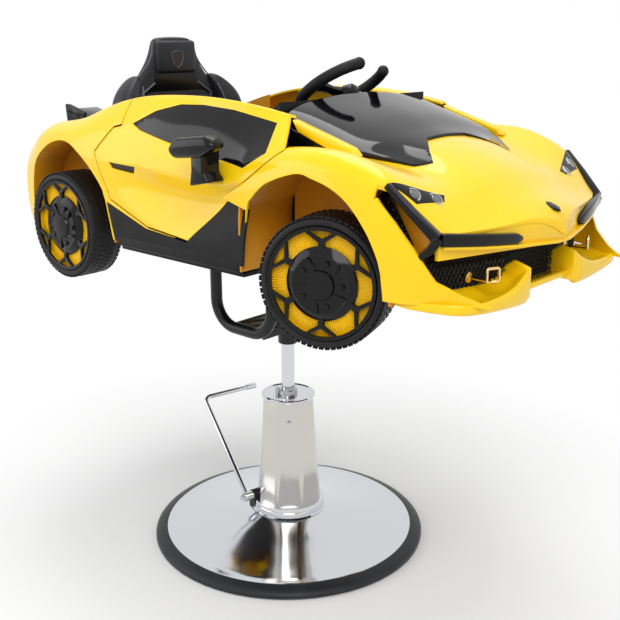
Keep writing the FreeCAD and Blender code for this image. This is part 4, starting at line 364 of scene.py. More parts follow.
def mix_finishes(look):
    """Makes every material of the chair."""
    dark = tuple(look.dark_color)
    paint = Finish("yellow_paint", tuple(look.paint_color), 0.30, coat_weight=look.paint_gloss,
                   coat_roughness=0.06, specular_ior_level=0.2)
    haze = paint.noise(7.0, 2.0)
    paint.tint(haze.ramp(0.4, 0.75, 0.0, 0.3), (0.92, 0.54, 0.003))
    paint.relief(paint.noise(420.0, 2.0), 0.00003, 0.2)
    # Arch linings and inner fins: a darker orange copy of the yellow paint, painted shade that stands for the
    # yellow plastic in shadow; the noise adds random darker patches.
    painted_shade_liner = Finish("painted_shade_yellow", (0.62, 0.26, 0.006), 0.42)
    painted_shade_liner.tint(painted_shade_liner.noise(12.0).ramp(0.35, 0.7, 0.0, 0.5), (0.48, 0.17, 0.004))

    gloss = Finish("gloss_black", (0.004, 0.004, 0.0045), 0.12, specular_ior_level=0.25)
    gloss.set("Roughness", gloss.noise(9.0).ramp(0.3, 0.7, 0.08, 0.18))
    matte = Finish("grained_black", dark, 0.55, specular_ior_level=0.2)
    matte.tint(matte.noise(30.0).ramp(0.4, 0.7, 0.0, 0.6), (0.012, 0.012, 0.013))
    matte.relief(matte.cells(900.0), 0.0002, 0.35)
    glass = Finish("tinted_glass", (0.003, 0.003, 0.004), 0.05, specular_ior_level=0.3)
    glass.set("Roughness", glass.noise(6.0).ramp(0.3, 0.7, 0.04, 0.09))
    bronze = Finish("bronze_black", (0.030, 0.015, 0.008), 0.22, specular_ior_level=0.3)
    bronze.tint(bronze.noise(40.0).ramp(0.4, 0.7), (0.012, 0.008, 0.006))

    tyre = Finish("tyre_plastic", (0.008, 0.008, 0.009), 0.5, specular_ior_level=0.25)
    tyre.tint(tyre.noise(24.0, 5.0).ramp(0.4, 0.75, 0.0, 0.7), (0.014, 0.014, 0.015))
    tyre.relief(tyre.noise(600.0, 2.0), 0.0002, 0.3)
    rubber = Finish("base_rubber", (0.014, 0.015, 0.018), 0.45, specular_ior_level=0.3)
    rubber.tint(rubber.noise(18.0, 5.0).ramp(0.45, 0.75, 0.0, 0.6), (0.030, 0.032, 0.036))
    rubber.relief(rubber.noise(500.0, 2.0), 0.0002, 0.25)

    chrome = Finish("chrome", (0.62, 0.63, 0.66), 0.07, metallic=1.0)
    chrome.set("Roughness", chrome.noise(5.0, 4.0).ramp(0.35, 0.7, 0.04, 0.13))
    brushed = Finish("cover_steel", (0.60, 0.58, 0.54), 0.2, metallic=1.0)
    streaks = brushed.noise(1.0, 3.0, brushed.stretched(260.0, 260.0, 4.0))
    brushed.set("Roughness", streaks.ramp(0.3, 0.7, 0.14, 0.26))
    rod = Finish("rod_steel", (0.66, 0.67, 0.70), 0.12, metallic=1.0)
    bands = rod.noise(1.0, 2.0, rod.stretched(3.0, 3.0, 700.0))
    rod.set("Roughness", bands.ramp(0.3, 0.7, 0.08, 0.22))
    frame_paint = Finish("frame_paint", (0.008, 0.008, 0.009), 0.32, specular_ior_level=0.3)
    frame_paint.relief(frame_paint.noise(160.0, 3.0), 0.0002, 0.2)
    frame_paint.set("Roughness", frame_paint.noise(20.0).ramp(0.3, 0.7, 0.25, 0.42))
    zinc = Finish("plated_steel", (0.50, 0.50, 0.52), 0.3, metallic=1.0)
    zinc.set("Roughness", zinc.noise(60.0).ramp(0.3, 0.7, 0.22, 0.42))
    gold = Finish("gold_plating", (0.83, 0.62, 0.30), 0.14, metallic=1.0)
    gold.set("Roughness", gold.noise(70.0).ramp(0.3, 0.7, 0.1, 0.24))

    hide = Finish("seat_leather", tuple(look.seat_color), 0.42, specular_ior_level=0.35)
    hide.tint(hide.noise(22.0, 4.0).ramp(0.4, 0.7, 0.0, 0.6), (0.018, 0.018, 0.022))
    hide.relief(hide.cells(520.0), 0.0006, 0.35)
    cord = Finish("grey_piping", (0.10, 0.10, 0.11), 0.45)
    cord.relief(cord.noise(900.0), 0.0002, 0.3)

    lens = Finish("clear_lens", (0.75, 0.80, 0.85), 0.03, transmission_weight=0.85, coat_weight=0.5)
    lens.set("Roughness", lens.noise(30.0).ramp(0.3, 0.7, 0.02, 0.06))
    red = Finish("red_lens", (0.30, 0.004, 0.004), 0.12, coat_weight=1.0)
    red.tint(red.cells(240.0).ramp(0.1, 0.6), (0.45, 0.012, 0.01))
    dial = Finish("dial_face", (0.35, 0.55, 0.78), 0.25, coat_weight=0.6)
    dial.tint(dial.noise(90.0).ramp(0.45, 0.6), (0.60, 0.78, 0.90))


# Shape helpers
def placed(name, data):
    """New object in the scene."""
    thing = bpy.data.objects.new(name, data)
    bpy.context.scene.collection.objects.link(thing)
    return thing


def made_from(name, form):
    """Object made from a bmesh, which is used up."""
    mesh = bpy.data.meshes.new(name)
    form.to_mesh(mesh)
    form.free()
    return placed(name, mesh)


def mesh_object(name, form):
    """Object made from a bmesh, with its faces pointing outwards."""
    bmesh.ops.remove_doubles(form, verts=form.verts, dist=1e-6)
    bmesh.ops.recalc_face_normals(form, faces=form.faces)
    return made_from(name, form)


def remade(thing):
    """Mesh of a piece with its modifiers applied."""
    graph = bpy.context.evaluated_depsgraph_get()
    graph.update()
    return bpy.data.meshes.new_from_object(thing.evaluated_get(graph), depsgraph=graph)


def settle(thing):
    """Applies every modifier of a piece."""
    mesh = remade(thing)
    old = thing.data
    thing.modifiers.clear()
    thing.data = mesh
    bpy.data.meshes.remove(old)
    return thing


def smooth(thing, angle=32.0):
    for face in thing.data.polygons:
        face.use_smooth = True
    thing.data.set_sharp_from_angle(angle=math.radians(angle))
    return thing


def soften(thing, width, segments=2, angle=35.0):
    """Rounded edges and smooth shading."""
    bevel = thing.modifiers.new("edges", "BEVEL")
    bevel.width = width
    bevel.segments = segments
    bevel.limit_method = "ANGLE"
    bevel.angle_limit = math.radians(angle)
    bevel.use_clamp_overlap = True
    settle(thing)
    return smooth(thing)


def carve(thing, cutter, operation="DIFFERENCE"):
    """Boolean of two closed pieces. The cutter is used up."""
    step = thing.modifiers.new("cut", "BOOLEAN")
    step.operation = operation
    step.solver = "MANIFOLD"
    step.object = cutter
    settle(thing)
    if not thing.data.polygons:
        raise RuntimeError(f"nothing is left of {thing.name} after {cutter.name}")
    bpy.data.objects.remove(cutter)
    return thing


def finish_piece(thing, body, finish=None, nodes=()):
    """Gives a piece its body, its finish and the plain nodes it stands for."""
    if finish:
        thing.data.materials.clear()
        thing.data.materials.append(finishes[finish])
    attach(thing, body)
    if nodes:
        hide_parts(*nodes)
    return thing


def ring_verts(form, points):
    return [form.verts.new(point) for point in points]


def loft(name, rings):
    """Closed skin through rings of points with equal counts."""
    form = bmesh.new()
    loops = []
    for points in rings:
        verts = ring_verts(form, points)
        loops.append([form.edges.new(pair) for pair in zip(verts, verts[1:] + verts[:1])])
    for first, second in zip(loops, loops[1:]):
        bmesh.ops.bridge_loops(form, edges=first + second)
    for loop in (loops[0], loops[-1]):
        bmesh.ops.contextual_create(form, geom=loop)
    return mesh_object(name, form)


def rounded(thing, levels=2):
    """Subdivided piece, which rounds all its edges."""
    rounding = thing.modifiers.new("round", "SUBSURF")
    rounding.levels = rounding.render_levels = levels
    return settle(thing)


def lathe(name, profile, steps=96, matrix=None):
    """Outline of radius and height points, spun about Z."""
    form = bmesh.new()
    verts = ring_verts(form, [(r, 0, z) for r, z in profile])
    edges = [form.edges.new(pair) for pair in zip(verts, verts[1:])]
    bmesh.ops.spin(form, geom=verts + edges, cent=(0, 0, 0), axis=(0, 0, 1), angle=2 * math.pi,
                   steps=steps, use_merge=True)
    thing = mesh_object(name, form)
    if matrix is not None:
        thing.data.transform(matrix)
    return thing


def slab(name, outline, depth, matrix=None):
    """Flat outline in X and Y, pulled along Z."""
    form = bmesh.new()
    face = form.faces.new(ring_verts(form, [(x, y, 0) for x, y in outline]))
    pulled = bmesh.ops.extrude_face_region(form, geom=[face])
    moved = [item for item in pulled["geom"] if isinstance(item, bmesh.types.BMVert)]
    bmesh.ops.translate(form, vec=(0, 0, depth), verts=moved)
    thing = mesh_object(name, form)
    if matrix is not None:
        thing.data.transform(matrix)
    return thing


def side_prism(outline, side, y0=0.0, y1=0.45, grow=0.0):
    """Side-view outline as a closed block on one side of the car."""
    points = grown([(HALF_L * x, SILL_Z + BODY_H * z) for x, z in outline], grow)
    lay = Matrix.Rotation(math.pi / 2, 4, "X")
    near, far = sorted((side * y0, side * y1))
    lay.translation = (0, far, 0)
    return slab("prism", points, far - near, lay)


def grown(points, gap):
    """Flat outline moved outwards by a gap."""
    if not gap:
        return points
    area = sum(a[0] * b[1] - b[0] * a[1] for a, b in zip(points, points[1:] + points[:1]))
    sign = 1 if area > 0 else -1
    moved = []
    for before, here, after in zip(points[-1:] + points[:-1], points, points[1:] + points[:1]):
        normals = []
        for a, b in ((before, here), (here, after)):
            run = Vector((b[0] - a[0], b[1] - a[1])).normalized()
            normals.append(Vector((run.y, -run.x)) * sign)
        mean = (normals[0] + normals[1]).normalized()
        reach = gap / max(mean.dot(normals[0]), 0.4)
        moved.append((here[0] + mean.x * reach, here[1] + mean.y * reach))
    return moved


def curve_through(points, steps):
    """Smooth run of points through the given ones."""
    out = []
    ends = [points[0]] + list(points) + [points[-1]]
    for a, b, c, d in zip(ends, ends[1:], ends[2:], ends[3:]):
        for i in range(steps):
            t = i / steps
            out.append(tuple(0.5 * (2 * q + (r - p) * t + (2 * p - 5 * q + 4 * r - s) * t * t
                                    + (3 * q - p - 3 * r + s) * t ** 3) for p, q, r, s in zip(a, b, c, d)))
    return out + [tuple(points[-1])]


def joined(name, things):
    """Several meshes as one piece, left as separate shells."""
    form = bmesh.new()
    for thing in things:
        form.from_mesh(thing.data)
    made = made_from(name, form)
    for thing in things:
        bpy.data.objects.remove(thing)
    return made


def pipe(name, points, radius, closed=False, sides=3):
    """Round bar along points."""
    line = bpy.data.curves.new(name, "CURVE")
    line.dimensions = "3D"
    line.bevel_depth = radius
    line.bevel_resolution = sides
    line.use_fill_caps = True
    run = line.splines.new("POLY")
    run.points.add(len(points) - 1)
    for spot, point in zip(run.points, points):
        spot.co = (*point, 1.0)
    run.use_cyclic_u = closed
    bar = placed(name, line)
    thing = placed(name, remade(bar))
    bpy.data.objects.remove(bar)
    return smooth(thing)


def polished(node, width=0.0008, angle=30.0):
    """Merged copy of a plain node, with rounded edges."""
    form = bmesh.new()
    form.from_mesh(frame["nodes"][node].data)
    bmesh.ops.remove_doubles(form, verts=form.verts, dist=2e-6)
    bmesh.ops.dissolve_limit(form, angle_limit=math.radians(0.4), verts=form.verts, edges=form.edges)
    thing = made_from(node + "_finish", form)
    return soften(thing, width, 2, angle) if width else smooth(thing, angle)


def dress(node, body, finish, width=0.0008):
    return finish_piece(polished(node, width), body, finish, [node])


# Car body
def station_rings(rows):
    """Near half of the body's sections, with one more station and point between each pair."""
    near = [[spot_at(HALF_L * row[0], -y, z) for y, z in row[1:]] for row in rows]
    dense = [curve_through(points, SMOOTH_STEPS) for points in near]
    columns = [curve_through(column, SMOOTH_STEPS) for column in zip(*dense)]
    return [list(ring) for ring in zip(*columns)]


def spot_at(x, y_share, z_share):
    """Point at a place along the car, with its other two coordinates given as shares."""
    return (x, HALF_W * y_share, SILL_Z + BODY_H * z_share)


def skin_form(rows, sharp):
    """Open skin through the stations, with some of the runs along the car kept sharp."""
    form = bmesh.new()
    crease = form.edges.layers.float.new("crease_edge")
    rings = [ring_verts(form, points) for points in station_rings(rows)]
    chains = [[form.edges.new(pair) for pair in zip(ring, ring[1:])] for ring in rings]
    for first, second in zip(chains, chains[1:]):
        bmesh.ops.bridge_loops(form, edges=first + second)
    for index, amount in sharp.items():
        row = SMOOTH_STEPS * index
        for first, second in zip(rings, rings[1:]):
            edge = form.edges.get((first[row], second[row]))
            if edge:
                edge[crease] = amount
    bmesh.ops.mirror(form, geom=form.verts[:] + form.edges[:] + form.faces[:], axis="Y", merge_dist=1e-5)
    return form


def body_skin(name, rows, sharp, wall=WALL, lift=0.0):
    """Even wall under the smooth skin. A lift moves the whole wall outwards."""
    form = skin_form(rows, sharp)
    skin = mesh_object(name, form)
    top = max(skin.data.polygons, key=lambda face: face.center.z)
    if top.normal.z < 0:
        skin.data.flip_normals()
    rounding = skin.modifiers.new("form", "SUBSURF")
    rounding.levels = rounding.render_levels = 2
    rounding.boundary_smooth = "PRESERVE_CORNERS"
    settle(skin)
    if lift:
        raised = skin.modifiers.new("lift", "DISPLACE")
        raised.strength = lift
        raised.mid_level = 0.0
        settle(skin)
    thick = skin.modifiers.new("wall", "SOLIDIFY")
    thick.thickness = wall
    thick.offset = -1
    thick.use_even_offset = True
    return settle(skin)


def body_core(name, rows):
    """Closed block that fills the space under the skin."""
    rings = []
    for near in station_rings(rows):
        far = [(x, -y, z) for x, y, z in reversed(near[:-1])]
        floor = [(x, y, FLOOR_Z) for x, y, _ in (far[-1], near[0])]
        rings.append(list(near) + far + floor)
    core = loft(name, rings)
    core.data.transform(Matrix.Diagonal((1.0, 0.992, 1.0, 1.0)))
    return core


def box(name, low, high):
    form = bmesh.new()
    bmesh.ops.create_cube(form, size=1.0)
    size = [b - a for a, b in zip(low, high)]
    bmesh.ops.scale(form, vec=size, verts=form.verts)
    bmesh.ops.translate(form, vec=[(a + b) / 2 for a, b in zip(low, high)], verts=form.verts)
    return mesh_object(name, form)


def plan_outline(points):
    """Half outline in plan, which ends on the centre line, with its mirror image."""
    near = [(HALF_L * x, -HALF_W * y) for x, y in points]
    return near + [(x, -y) for x, y in reversed(near[:-1])]


def upright(name, outline, low, high):
    """Plan outline as an upright block."""
    return slab(name, outline, high - low, Matrix.Translation((0, 0, low)))


def cockpit_block():
    return box("cockpit", (COCKPIT_REAR, -COCKPIT_HALF, FLOOR_Z - WALL),
               (COCKPIT_FRONT, COCKPIT_HALF, BODY_TOP))


def keep_span(thing, low, high):
    """Cuts a piece off at two places along the car."""
    form = bmesh.new()
    form.from_mesh(thing.data)
    for x, ahead in ((low, -1), (high, 1)):
        geom = form.verts[:] + form.edges[:] + form.faces[:]
        cut = bmesh.ops.bisect_plane(form, geom=geom, plane_co=(x, 0, 0), plane_no=(ahead, 0, 0),
                                     clear_outer=True, dist=1e-6)
        rim = [item for item in cut["geom_cut"] if isinstance(item, bmesh.types.BMEdge)]
        bmesh.ops.holes_fill(form, edges=rim)
    form.to_mesh(thing.data)
    form.free()
    return thing


def arch_wall(name, outline, inner, side, core):
    """Curved wall over a wheel, from the tub out to the skin."""
    points = curve_through(list(outline), 3)
    outer = side_prism(points, side, inner, 0.40, grow=WALL)
    carve(outer, side_prism(points, side, inner - 0.01, 0.45))
    carve(outer, copy_of(core), "INTERSECT")
    outer.name = name
    return outer


def copy_of(thing):
    return placed(thing.name, thing.data.copy())


def inner_wall(ends, y, side, core):
    """Upright wall between the tub and the skin, beside a wheel."""
    x0, x1 = (HALF_L * end for end in ends)
    near, far = sorted((side * y, side * (y + WALL)))
    wall = box("inner_wall", (x0, near, FLOOR_Z), (x1, far, BODY_TOP))
    return carve(wall, copy_of(core), "INTERSECT")


def above_sill(thing):
    """Cuts away what would hang below the skirts."""
    return carve(thing, box("below", (-1.0, -1.0, FLOOR_Z - 0.2), (1.0, 1.0, SILL_Z + 0.004)))


def shape_panels(sizes):
    """The rear body with its linings, the doors, windows and skirts."""
    sharp = {3: 0.85, 4: 0.3, 5: 0.55, 6: 0.6}
    cabin = body_skin("cabin_skin", cabin_shares, sharp)
    core = body_core("cabin_core", cabin_shares)

    rear = carve(copy_of(cabin), cockpit_block())
    for side in (-1, 1):
        for outline, gap in ((door_shares, SHUT_GAP), (skirt_shares, SHUT_GAP / 2)):
            carve(rear, side_prism(outline, side, grow=gap))
        carve(rear, side_prism(curve_through(list(rear_arch_shares), 3), side))
    keep_span(rear, -HALF_L, HALF_L * 0.045)
    soften(rear, sizes.panel_edge)
    extras = []
    for side in (-1, 1):
        extras.append(arch_wall("painted_shade_liner", rear_arch_shares, TUB_REAR_HALF, side, core))
        extras.append(inner_wall((-0.86, -0.40), TUB_REAR_HALF, side, core))
    back = copy_of(core)
    keep_span(back, HALF_L * -0.92, HALF_L * -0.905)
    lining = soften(above_sill(joined("lining", extras)), sizes.panel_edge)
    above_sill(back)
    # The arch linings carry the yellow in painted shade.
    body = join_finished("rear_body_panel", [(rear, "yellow_paint"), (back, "yellow_paint"),
                                             (lining, "painted_shade_yellow")])
    finish_piece(body, "car", None, ["rear_body"])

    for side, name in SIDES:
        near, far = sorted((side * COCKPIT_HALF, side * 0.4))
        flank = box("side", (-HALF_L, near, FLOOR_Z), (HALF_L, far, BODY_TOP))
        flank = carve(copy_of(cabin), flank, "INTERSECT")
        pane = carve(copy_of(flank), side_prism(window_shares, side, grow=-0.0006), "INTERSECT")
        pane.data.transform(Matrix.Translation((0, -side * 0.0012, 0)))
        vent = carve(copy_of(flank), side_prism(vent_shares, side, grow=-0.0004), "INTERSECT")
        vent.data.transform(Matrix.Translation((0, -side * 0.003, 0)))
        door = carve(flank, side_prism(door_shares, side), "INTERSECT")
        carve(door, side_prism(window_shares, side))
        carve(door, side_prism(vent_shares, side))
        soften(door, sizes.panel_edge).name = f"door_{name}_panel"
        finish_piece(door, f"door_{name}_side", "yellow_paint", [f"door_{name}"])
        glass = join_finished(f"window_{name}_pane", [(soften(pane, 0.0008), "tinted_glass"),
                                                      (soften(vent, 0.0008), "bronze_black")])
        finish_piece(glass, f"door_{name}_side", None, [f"window_{name}"])

    skirts = []
    for side in (-1, 1):
        skirt = carve(copy_of(cabin), side_prism(skirt_shares, side), "INTERSECT")
        rail_y = sorted((side * 0.262, side * 0.2965))
        rail = box("rail", (-0.184, rail_y[0], SILL_Z), (0.165, rail_y[1], SILL_Z + 0.022))
        skirts += [soften(skirt, sizes.panel_edge), soften(rail, 0.005, 3)]
    finish_piece(joined("side_skirt_panels", skirts), "car", "grained_black",
                 ["side_skirts"])
    bpy.data.objects.remove(cabin)
    bpy.data.objects.remove(core)


def join_finished(name, parts):
    """Pieces with their own finishes as one piece."""
    whole = bmesh.new()
    slots = []
    for thing, label in parts:
        if label not in slots:
            slots.append(label)
        for face in thing.data.polygons:
            face.material_index = slots.index(label)
        whole.from_mesh(thing.data)
    made = made_from(name, whole)
    for label in slots:
        made.data.materials.append(finishes[label])
    for thing, _ in parts:
        bpy.data.objects.remove(thing)
    return made


def shape_nose(sizes):
    """The front body with its arches, screen opening and pillars."""
    nose = body_skin("nose_skin", nose_shares, {4: 0.25, 5: 0.2, 6: 0.25})
    core = body_core("nose_core", nose_shares)
    carve(nose, cockpit_block())
    ahead = ahead_block()
    for side in (-1, 1):
        carve(ahead, side_prism(cheek_shares, side, 0.150, 0.60))
    carve(nose, ahead)
    carve(nose, upright("plan", plan_outline(screen_plan_shares), SILL_Z + 0.12, BODY_TOP))
    for side in (-1, 1):
        for outline in (door_shares, skirt_shares):
            carve(nose, side_prism(outline, side, grow=SHUT_GAP / 2))
        carve(nose, side_prism(curve_through(list(front_arch_shares), 3), side))
        carve(nose, side_prism(mouth_shares, side, 0.150))
    soften(nose, sizes.panel_edge)
    linings = []
    pillars = []
    for side in (-1, 1):
        linings.append(arch_wall("painted_shade_liner", front_liner_shares, TUB_FRONT_HALF, side, core))
        linings.append(inner_wall((0.30, 0.80), TUB_FRONT_HALF, side, core))
        pillar = side_prism(pillar_shares, side, 0.2115, 0.232)
        carve(pillar, side_prism(door_shares, side, grow=SHUT_GAP / 2))
        pillars.append(soften(pillar, 0.004, 3))
    wall = [(x - 0.001, y) for x, y in plan_outline(edge_plan_shares[1:])]
    inner = [(x - 0.006, y) for x, y in reversed(wall)]
    brow = slab("brow", wall + inner, 0.12, Matrix.Translation((0, 0, SILL_Z + 0.078)))
    carve(brow, copy_of(core), "INTERSECT")
    pillars.append(soften(brow, sizes.panel_edge))
    lining = soften(above_sill(joined("lining", linings)), sizes.panel_edge)
    # The arch linings carry the yellow in painted shade.
    body = join_finished("front_body_panel", [(nose, "yellow_paint"), (lining, "painted_shade_yellow"),
                                              (joined("pillars", pillars), "yellow_paint")])
    finish_piece(body, "car", None, ["front_body"])
    bpy.data.objects.remove(core)


def ahead_block():
    """Everything ahead of the nose's leading edge."""
    edge = plan_outline(edge_plan_shares)
    rear, front = edge[0][0], HALF_L * 1.4
    outline = edge + [(rear, 0.5), (front, 0.5), (front, -0.5), (rear, -0.5)]
    return slab("ahead", outline, 0.5, Matrix.Translation((0, 0, FLOOR_Z - 0.01)))


def shape_screen():
    """Windscreen, cowl and quarter panes in dark glass."""
    pane = body_skin("windscreen_pane", screen_shares, {0: 1.0})
    outline = grown(plan_outline(screen_plan_shares), -0.0008)
    carve(pane, upright("screen", outline, SILL_Z + 0.1, BODY_TOP), "INTERSECT")
    soften(pane, 0.001)
    panes = [pane]
    for side in (-1, 1):
        panes.append(soften(side_prism(pane_shares, side, 0.226, 0.2315), 0.0008))
    finish_piece(joined("windscreen_panes", panes), "car", "tinted_glass", ["windscreen"])


def shape_mirrors():
    for side, name in SIDES:
        head = side_prism(mirror_shares, side, 0.322, 0.358)
        bevel = head.modifiers.new("round", "BEVEL")
        bevel.width = 0.011
        bevel.segments = 4
        settle(head)
        smooth(head, 40)
        stalk = soften(side_prism(stalk_shares, side, 0.297, 0.338), 0.004, 3)
        finish_piece(joined(f"mirror_{name}_shell", [head, stalk]), f"door_{name}_side",
                     "gloss_black", [f"mirror_{name}"])


# Nose fittings
def bar_between(points, width, height, up=(0, 0, 1)):
    """Flat bar through points, its width square to the run and its height along the up vector."""
    rings = []
    spots = [Vector(point) for point in points]
    for i, spot in enumerate(spots):
        before, after = spots[max(i - 1, 0)], spots[min(i + 1, len(spots) - 1)]
        run = (after - before).normalized()
        across = run.cross(Vector(up)).normalized()
        rise = across.cross(run).normalized()
        w, h = (size[i] / 2 if isinstance(size, list) else size / 2 for size in (width, height))
        rings.append([spot + across * a * w + rise * b * h for a, b in ((-1, -1), (1, -1), (1, 1), (-1, 1))])
    return loft("bar", rings)


def polar(radius, degrees, z=0.0):
    """Point at a radius and angle round Z."""
    angle = math.radians(degrees)
    return (radius * math.cos(angle), radius * math.sin(angle), z)


def sided(points, side):
    return [(x, side * y, z) for x, y, z in points]


def shape_nose_fittings(sizes):
    trims = []
    lips = []
    for side in (-1, 1):
        upper = sided([(0.473, 0.281, 0.864), (0.512, 0.272, 0.828), (0.553, 0.257, 0.788)], side)
        lower = sided([(0.553, 0.257, 0.790), (0.545, 0.264, 0.772), (0.527, 0.274, 0.755)], side)
        ahead = sided([(0.553, 0.255, 0.787), (0.577, 0.180, 0.779), (0.597, 0.110, 0.773),
                       (0.602, 0.094, 0.771)], side)
        for run, widths, heights, edge in (
                (upper, [0.012, 0.016, 0.022], [0.011, 0.013, 0.016], 0.003),
                (lower, [0.022, 0.018, 0.012], [0.016, 0.013, 0.009], 0.003),
                (ahead, [0.022, 0.020, 0.017, 0.006], [0.020, 0.019, 0.017, 0.006], 0.006)):
            trims.append(soften(bar_between(run, widths, heights), edge, len(run)))
        under = sided([(0.556, 0.252, 0.7745), (0.581, 0.178, 0.7665), (0.603, 0.100, 0.7605),
                       (0.6215, 0.020, 0.757), (0.6225, 0.0, 0.757)], side)
        lips.append(soften(bar_between(under, 0.012, 0.005), 0.0015, 2))
    finish_piece(joined("light_bars", trims), "car", "gloss_black", ["light_trims"])
    finish_piece(joined("nose_lip", lips), "car", "yellow_paint")
    fins = []
    strips = []
    for side in (-1, 1):
        fins.append(soften(side_prism(inner_fin_shares, side, 0.259, 0.262), 0.0008))
        strips.append(soften(side_prism(side_strip_shares, side, 0.268, 0.271), 0.0008))
        for index in range(7):
            drop = 0.012 + 0.011 * index
            ahead = 0.0085 * index
            strip = sided([(0.4535 + ahead, 0.272, 0.8525 - drop), (0.4635 + ahead, 0.272, 0.8600 - drop)],
                          side)
            strips.append(soften(bar_between(strip, 0.0026, 0.0026), 0.0006, 1))
    # The inner fins carry the yellow in painted shade.
    finish_piece(joined("inner_fins", fins), "car", "painted_shade_yellow")
    finish_piece(joined("side_strips", strips), "car", "gloss_black")

    pocket_skin = body_skin("pocket_skin", nose_shares, {}, wall=0.002, lift=0.0012)
    pockets = []
    lamps = []
    for side in (-1, 1):
        outline = [(HALF_L * x, side * HALF_W * y) for x, y in pocket_plan_shares]
        cutter = slab("pocket", outline, 0.4, Matrix.Translation((0, 0, SILL_Z + 0.1)))
        pockets.append(soften(carve(copy_of(pocket_skin), cutter, "INTERSECT"), 0.0006))
        for x, y, z in ((0.4996, 0.250, 0.8475), (0.5138, 0.212, 0.8367)):
            ahead = Vector((0.69, side * 0.25, 0.72)).normalized()
            lay = ahead.to_track_quat("Z", "Y").to_matrix().to_4x4()
            lay.translation = Vector((x, side * y, z)) - ahead * 0.005
            cup = [(0, 0), (0.0125, 0), (0.0125, 0.0062), (0.0105, 0.0066), (0.0100, 0.002), (0, 0.0012)]
            lens = [(0, 0.0018), (0.0098, 0.0030), (0.0098, 0.0056), (0.006, 0.0078), (0, 0.0086)]
            lamps.append((smooth(lathe("cup", cup, 48, lay)), "chrome"))
            lamps.append((smooth(lathe("lens", lens, 48, lay)), "clear_lens"))
    bpy.data.objects.remove(pocket_skin)
    finish_piece(joined("lamp_pockets", pockets), "car", "gloss_black")
    finish_piece(join_finished("headlamp_units", lamps), "car", None, ["headlamps"])
    badge = lathe("nose_badge_plate", [(0, 0), (0.0125, 0), (0.0125, 0.0016), (0.0105, 0.003), (0, 0.0036)],
                  6)
    badge.data.transform(Matrix.Translation((0.600, 0, 0.8085)) @ Matrix.Rotation(math.radians(22), 4, "Y")
                         @ Matrix.Diagonal((1.35, 1.0, 1.0, 1.0)))
    finish_piece(soften(badge, 0.0008), "car", "gloss_black")

    shape_splitter()
    shape_grilles(sizes)
    shape_tow_rings()


def scoop_ring(y, front, low, lip, floor, back, rear):
    """Section of the splitter: a rolled lip in front and a hollow that rises to the grille."""
    return [(x, y, z) for x, z in (
        (front - 0.012, low), (front, low + 0.002), (front + 0.002, (low + lip) / 2), (front - 0.001, lip),
        (front - 0.007, lip), (front - 0.018, (lip + floor) / 2), (front - 0.034, floor), (back, rear),
        (back, rear - 0.006), (front - 0.034, floor - 0.006))]


def shape_splitter():
    """Front splitter with a scooped tray, two fins and a low middle."""
    parts = []
    for side in (-1, 1):
        rings = []
        for half, front, low, lip, floor, back, rear in scoop_shares:
            low, lip, floor, rear = (SILL_Z + BODY_H * z for z in (low, lip, floor, rear))
            rings.append(scoop_ring(side * HALF_W * half, HALF_L * front, low, lip, floor,
                                    HALF_L * back, rear))
        parts.append(smooth(rounded(loft("scoop", rings)), 50))
        parts.append(soften(side_prism(nose_fin_shares, side, 0.074, 0.084), 0.0045, 4))
    middle = [scoop_ring(HALF_W * y, 0.600, 0.677, 0.6885, 0.679, 0.548, 0.684)
              for y in (-0.26, -0.1, 0.1, 0.26)]
    parts.append(soften(loft("middle", middle), 0.002, 2))
    finish_piece(joined("splitter_panel", parts), "car", "yellow_paint",
                 ["front_splitter"])


def honeycomb(start, end, low, high, cell, depth=0.004):
    """Panel of hexagonal cells between two plan points."""
    run = Vector((end[0] - start[0], end[1] - start[1], 0))
    length = run.length
    form = bmesh.new()
    pitch = cell * math.sqrt(3) / 2
    rows = int((high - low) / (cell * 0.75)) + 1
    columns = int(length / pitch) + 1
    for row in range(rows):
        for column in range(columns):
            x = pitch * (column + 0.5 * (row % 2))
            y = cell * 0.75 * row
            if x < length and y < high - low:
                spot = Matrix.Translation((x, y, 0)) @ Matrix.Rotation(math.pi / 2, 4, "Z")
                bmesh.ops.create_circle(form, cap_ends=True, segments=6, radius=cell / 2, matrix=spot)
    bmesh.ops.remove_doubles(form, verts=form.verts, dist=cell * 0.08)
    bmesh.ops.wireframe(form, faces=form.faces, thickness=depth * 0.45, use_replace=True, use_boundary=True,
                        use_even_offset=True)
    panel = mesh_object("mesh", form)
    along = run.normalized()
    lay = Matrix((along, Vector((0, 0, 1)), along.cross(Vector((0, 0, 1))))).transposed().to_4x4()
    lay.translation = Vector((*start, low))
    panel.data.transform(lay)
    return panel


def shape_grilles(sizes):
    cell = sizes.mesh_cell
    panels = []
    low, high = SILL_Z + 0.008, SILL_Z + 0.088
    for start, end in (((0.523, -0.240), (0.567, -0.086)), ((0.523, 0.240), (0.567, 0.086)),
                       ((0.567, -0.078), (0.567, 0.078))):
        panels.append(honeycomb(start, end, low, high, cell))
    backs = []
    for start, end in (((0.519, -0.240), (0.560, -0.086)), ((0.519, 0.240), (0.560, 0.086)),
                       ((0.560, -0.086), (0.560, 0.086))):
        backs.append(bar_between([(*spot, SILL_Z + 0.045) for spot in (start, end)], 0.0012, 0.080))
    grille = join_finished("grille_mesh", [(joined("mesh", panels), "gloss_black"),
                                           (joined("backs", backs), "grained_black")])
    finish_piece(grille, "car", None, ["front_grilles"])


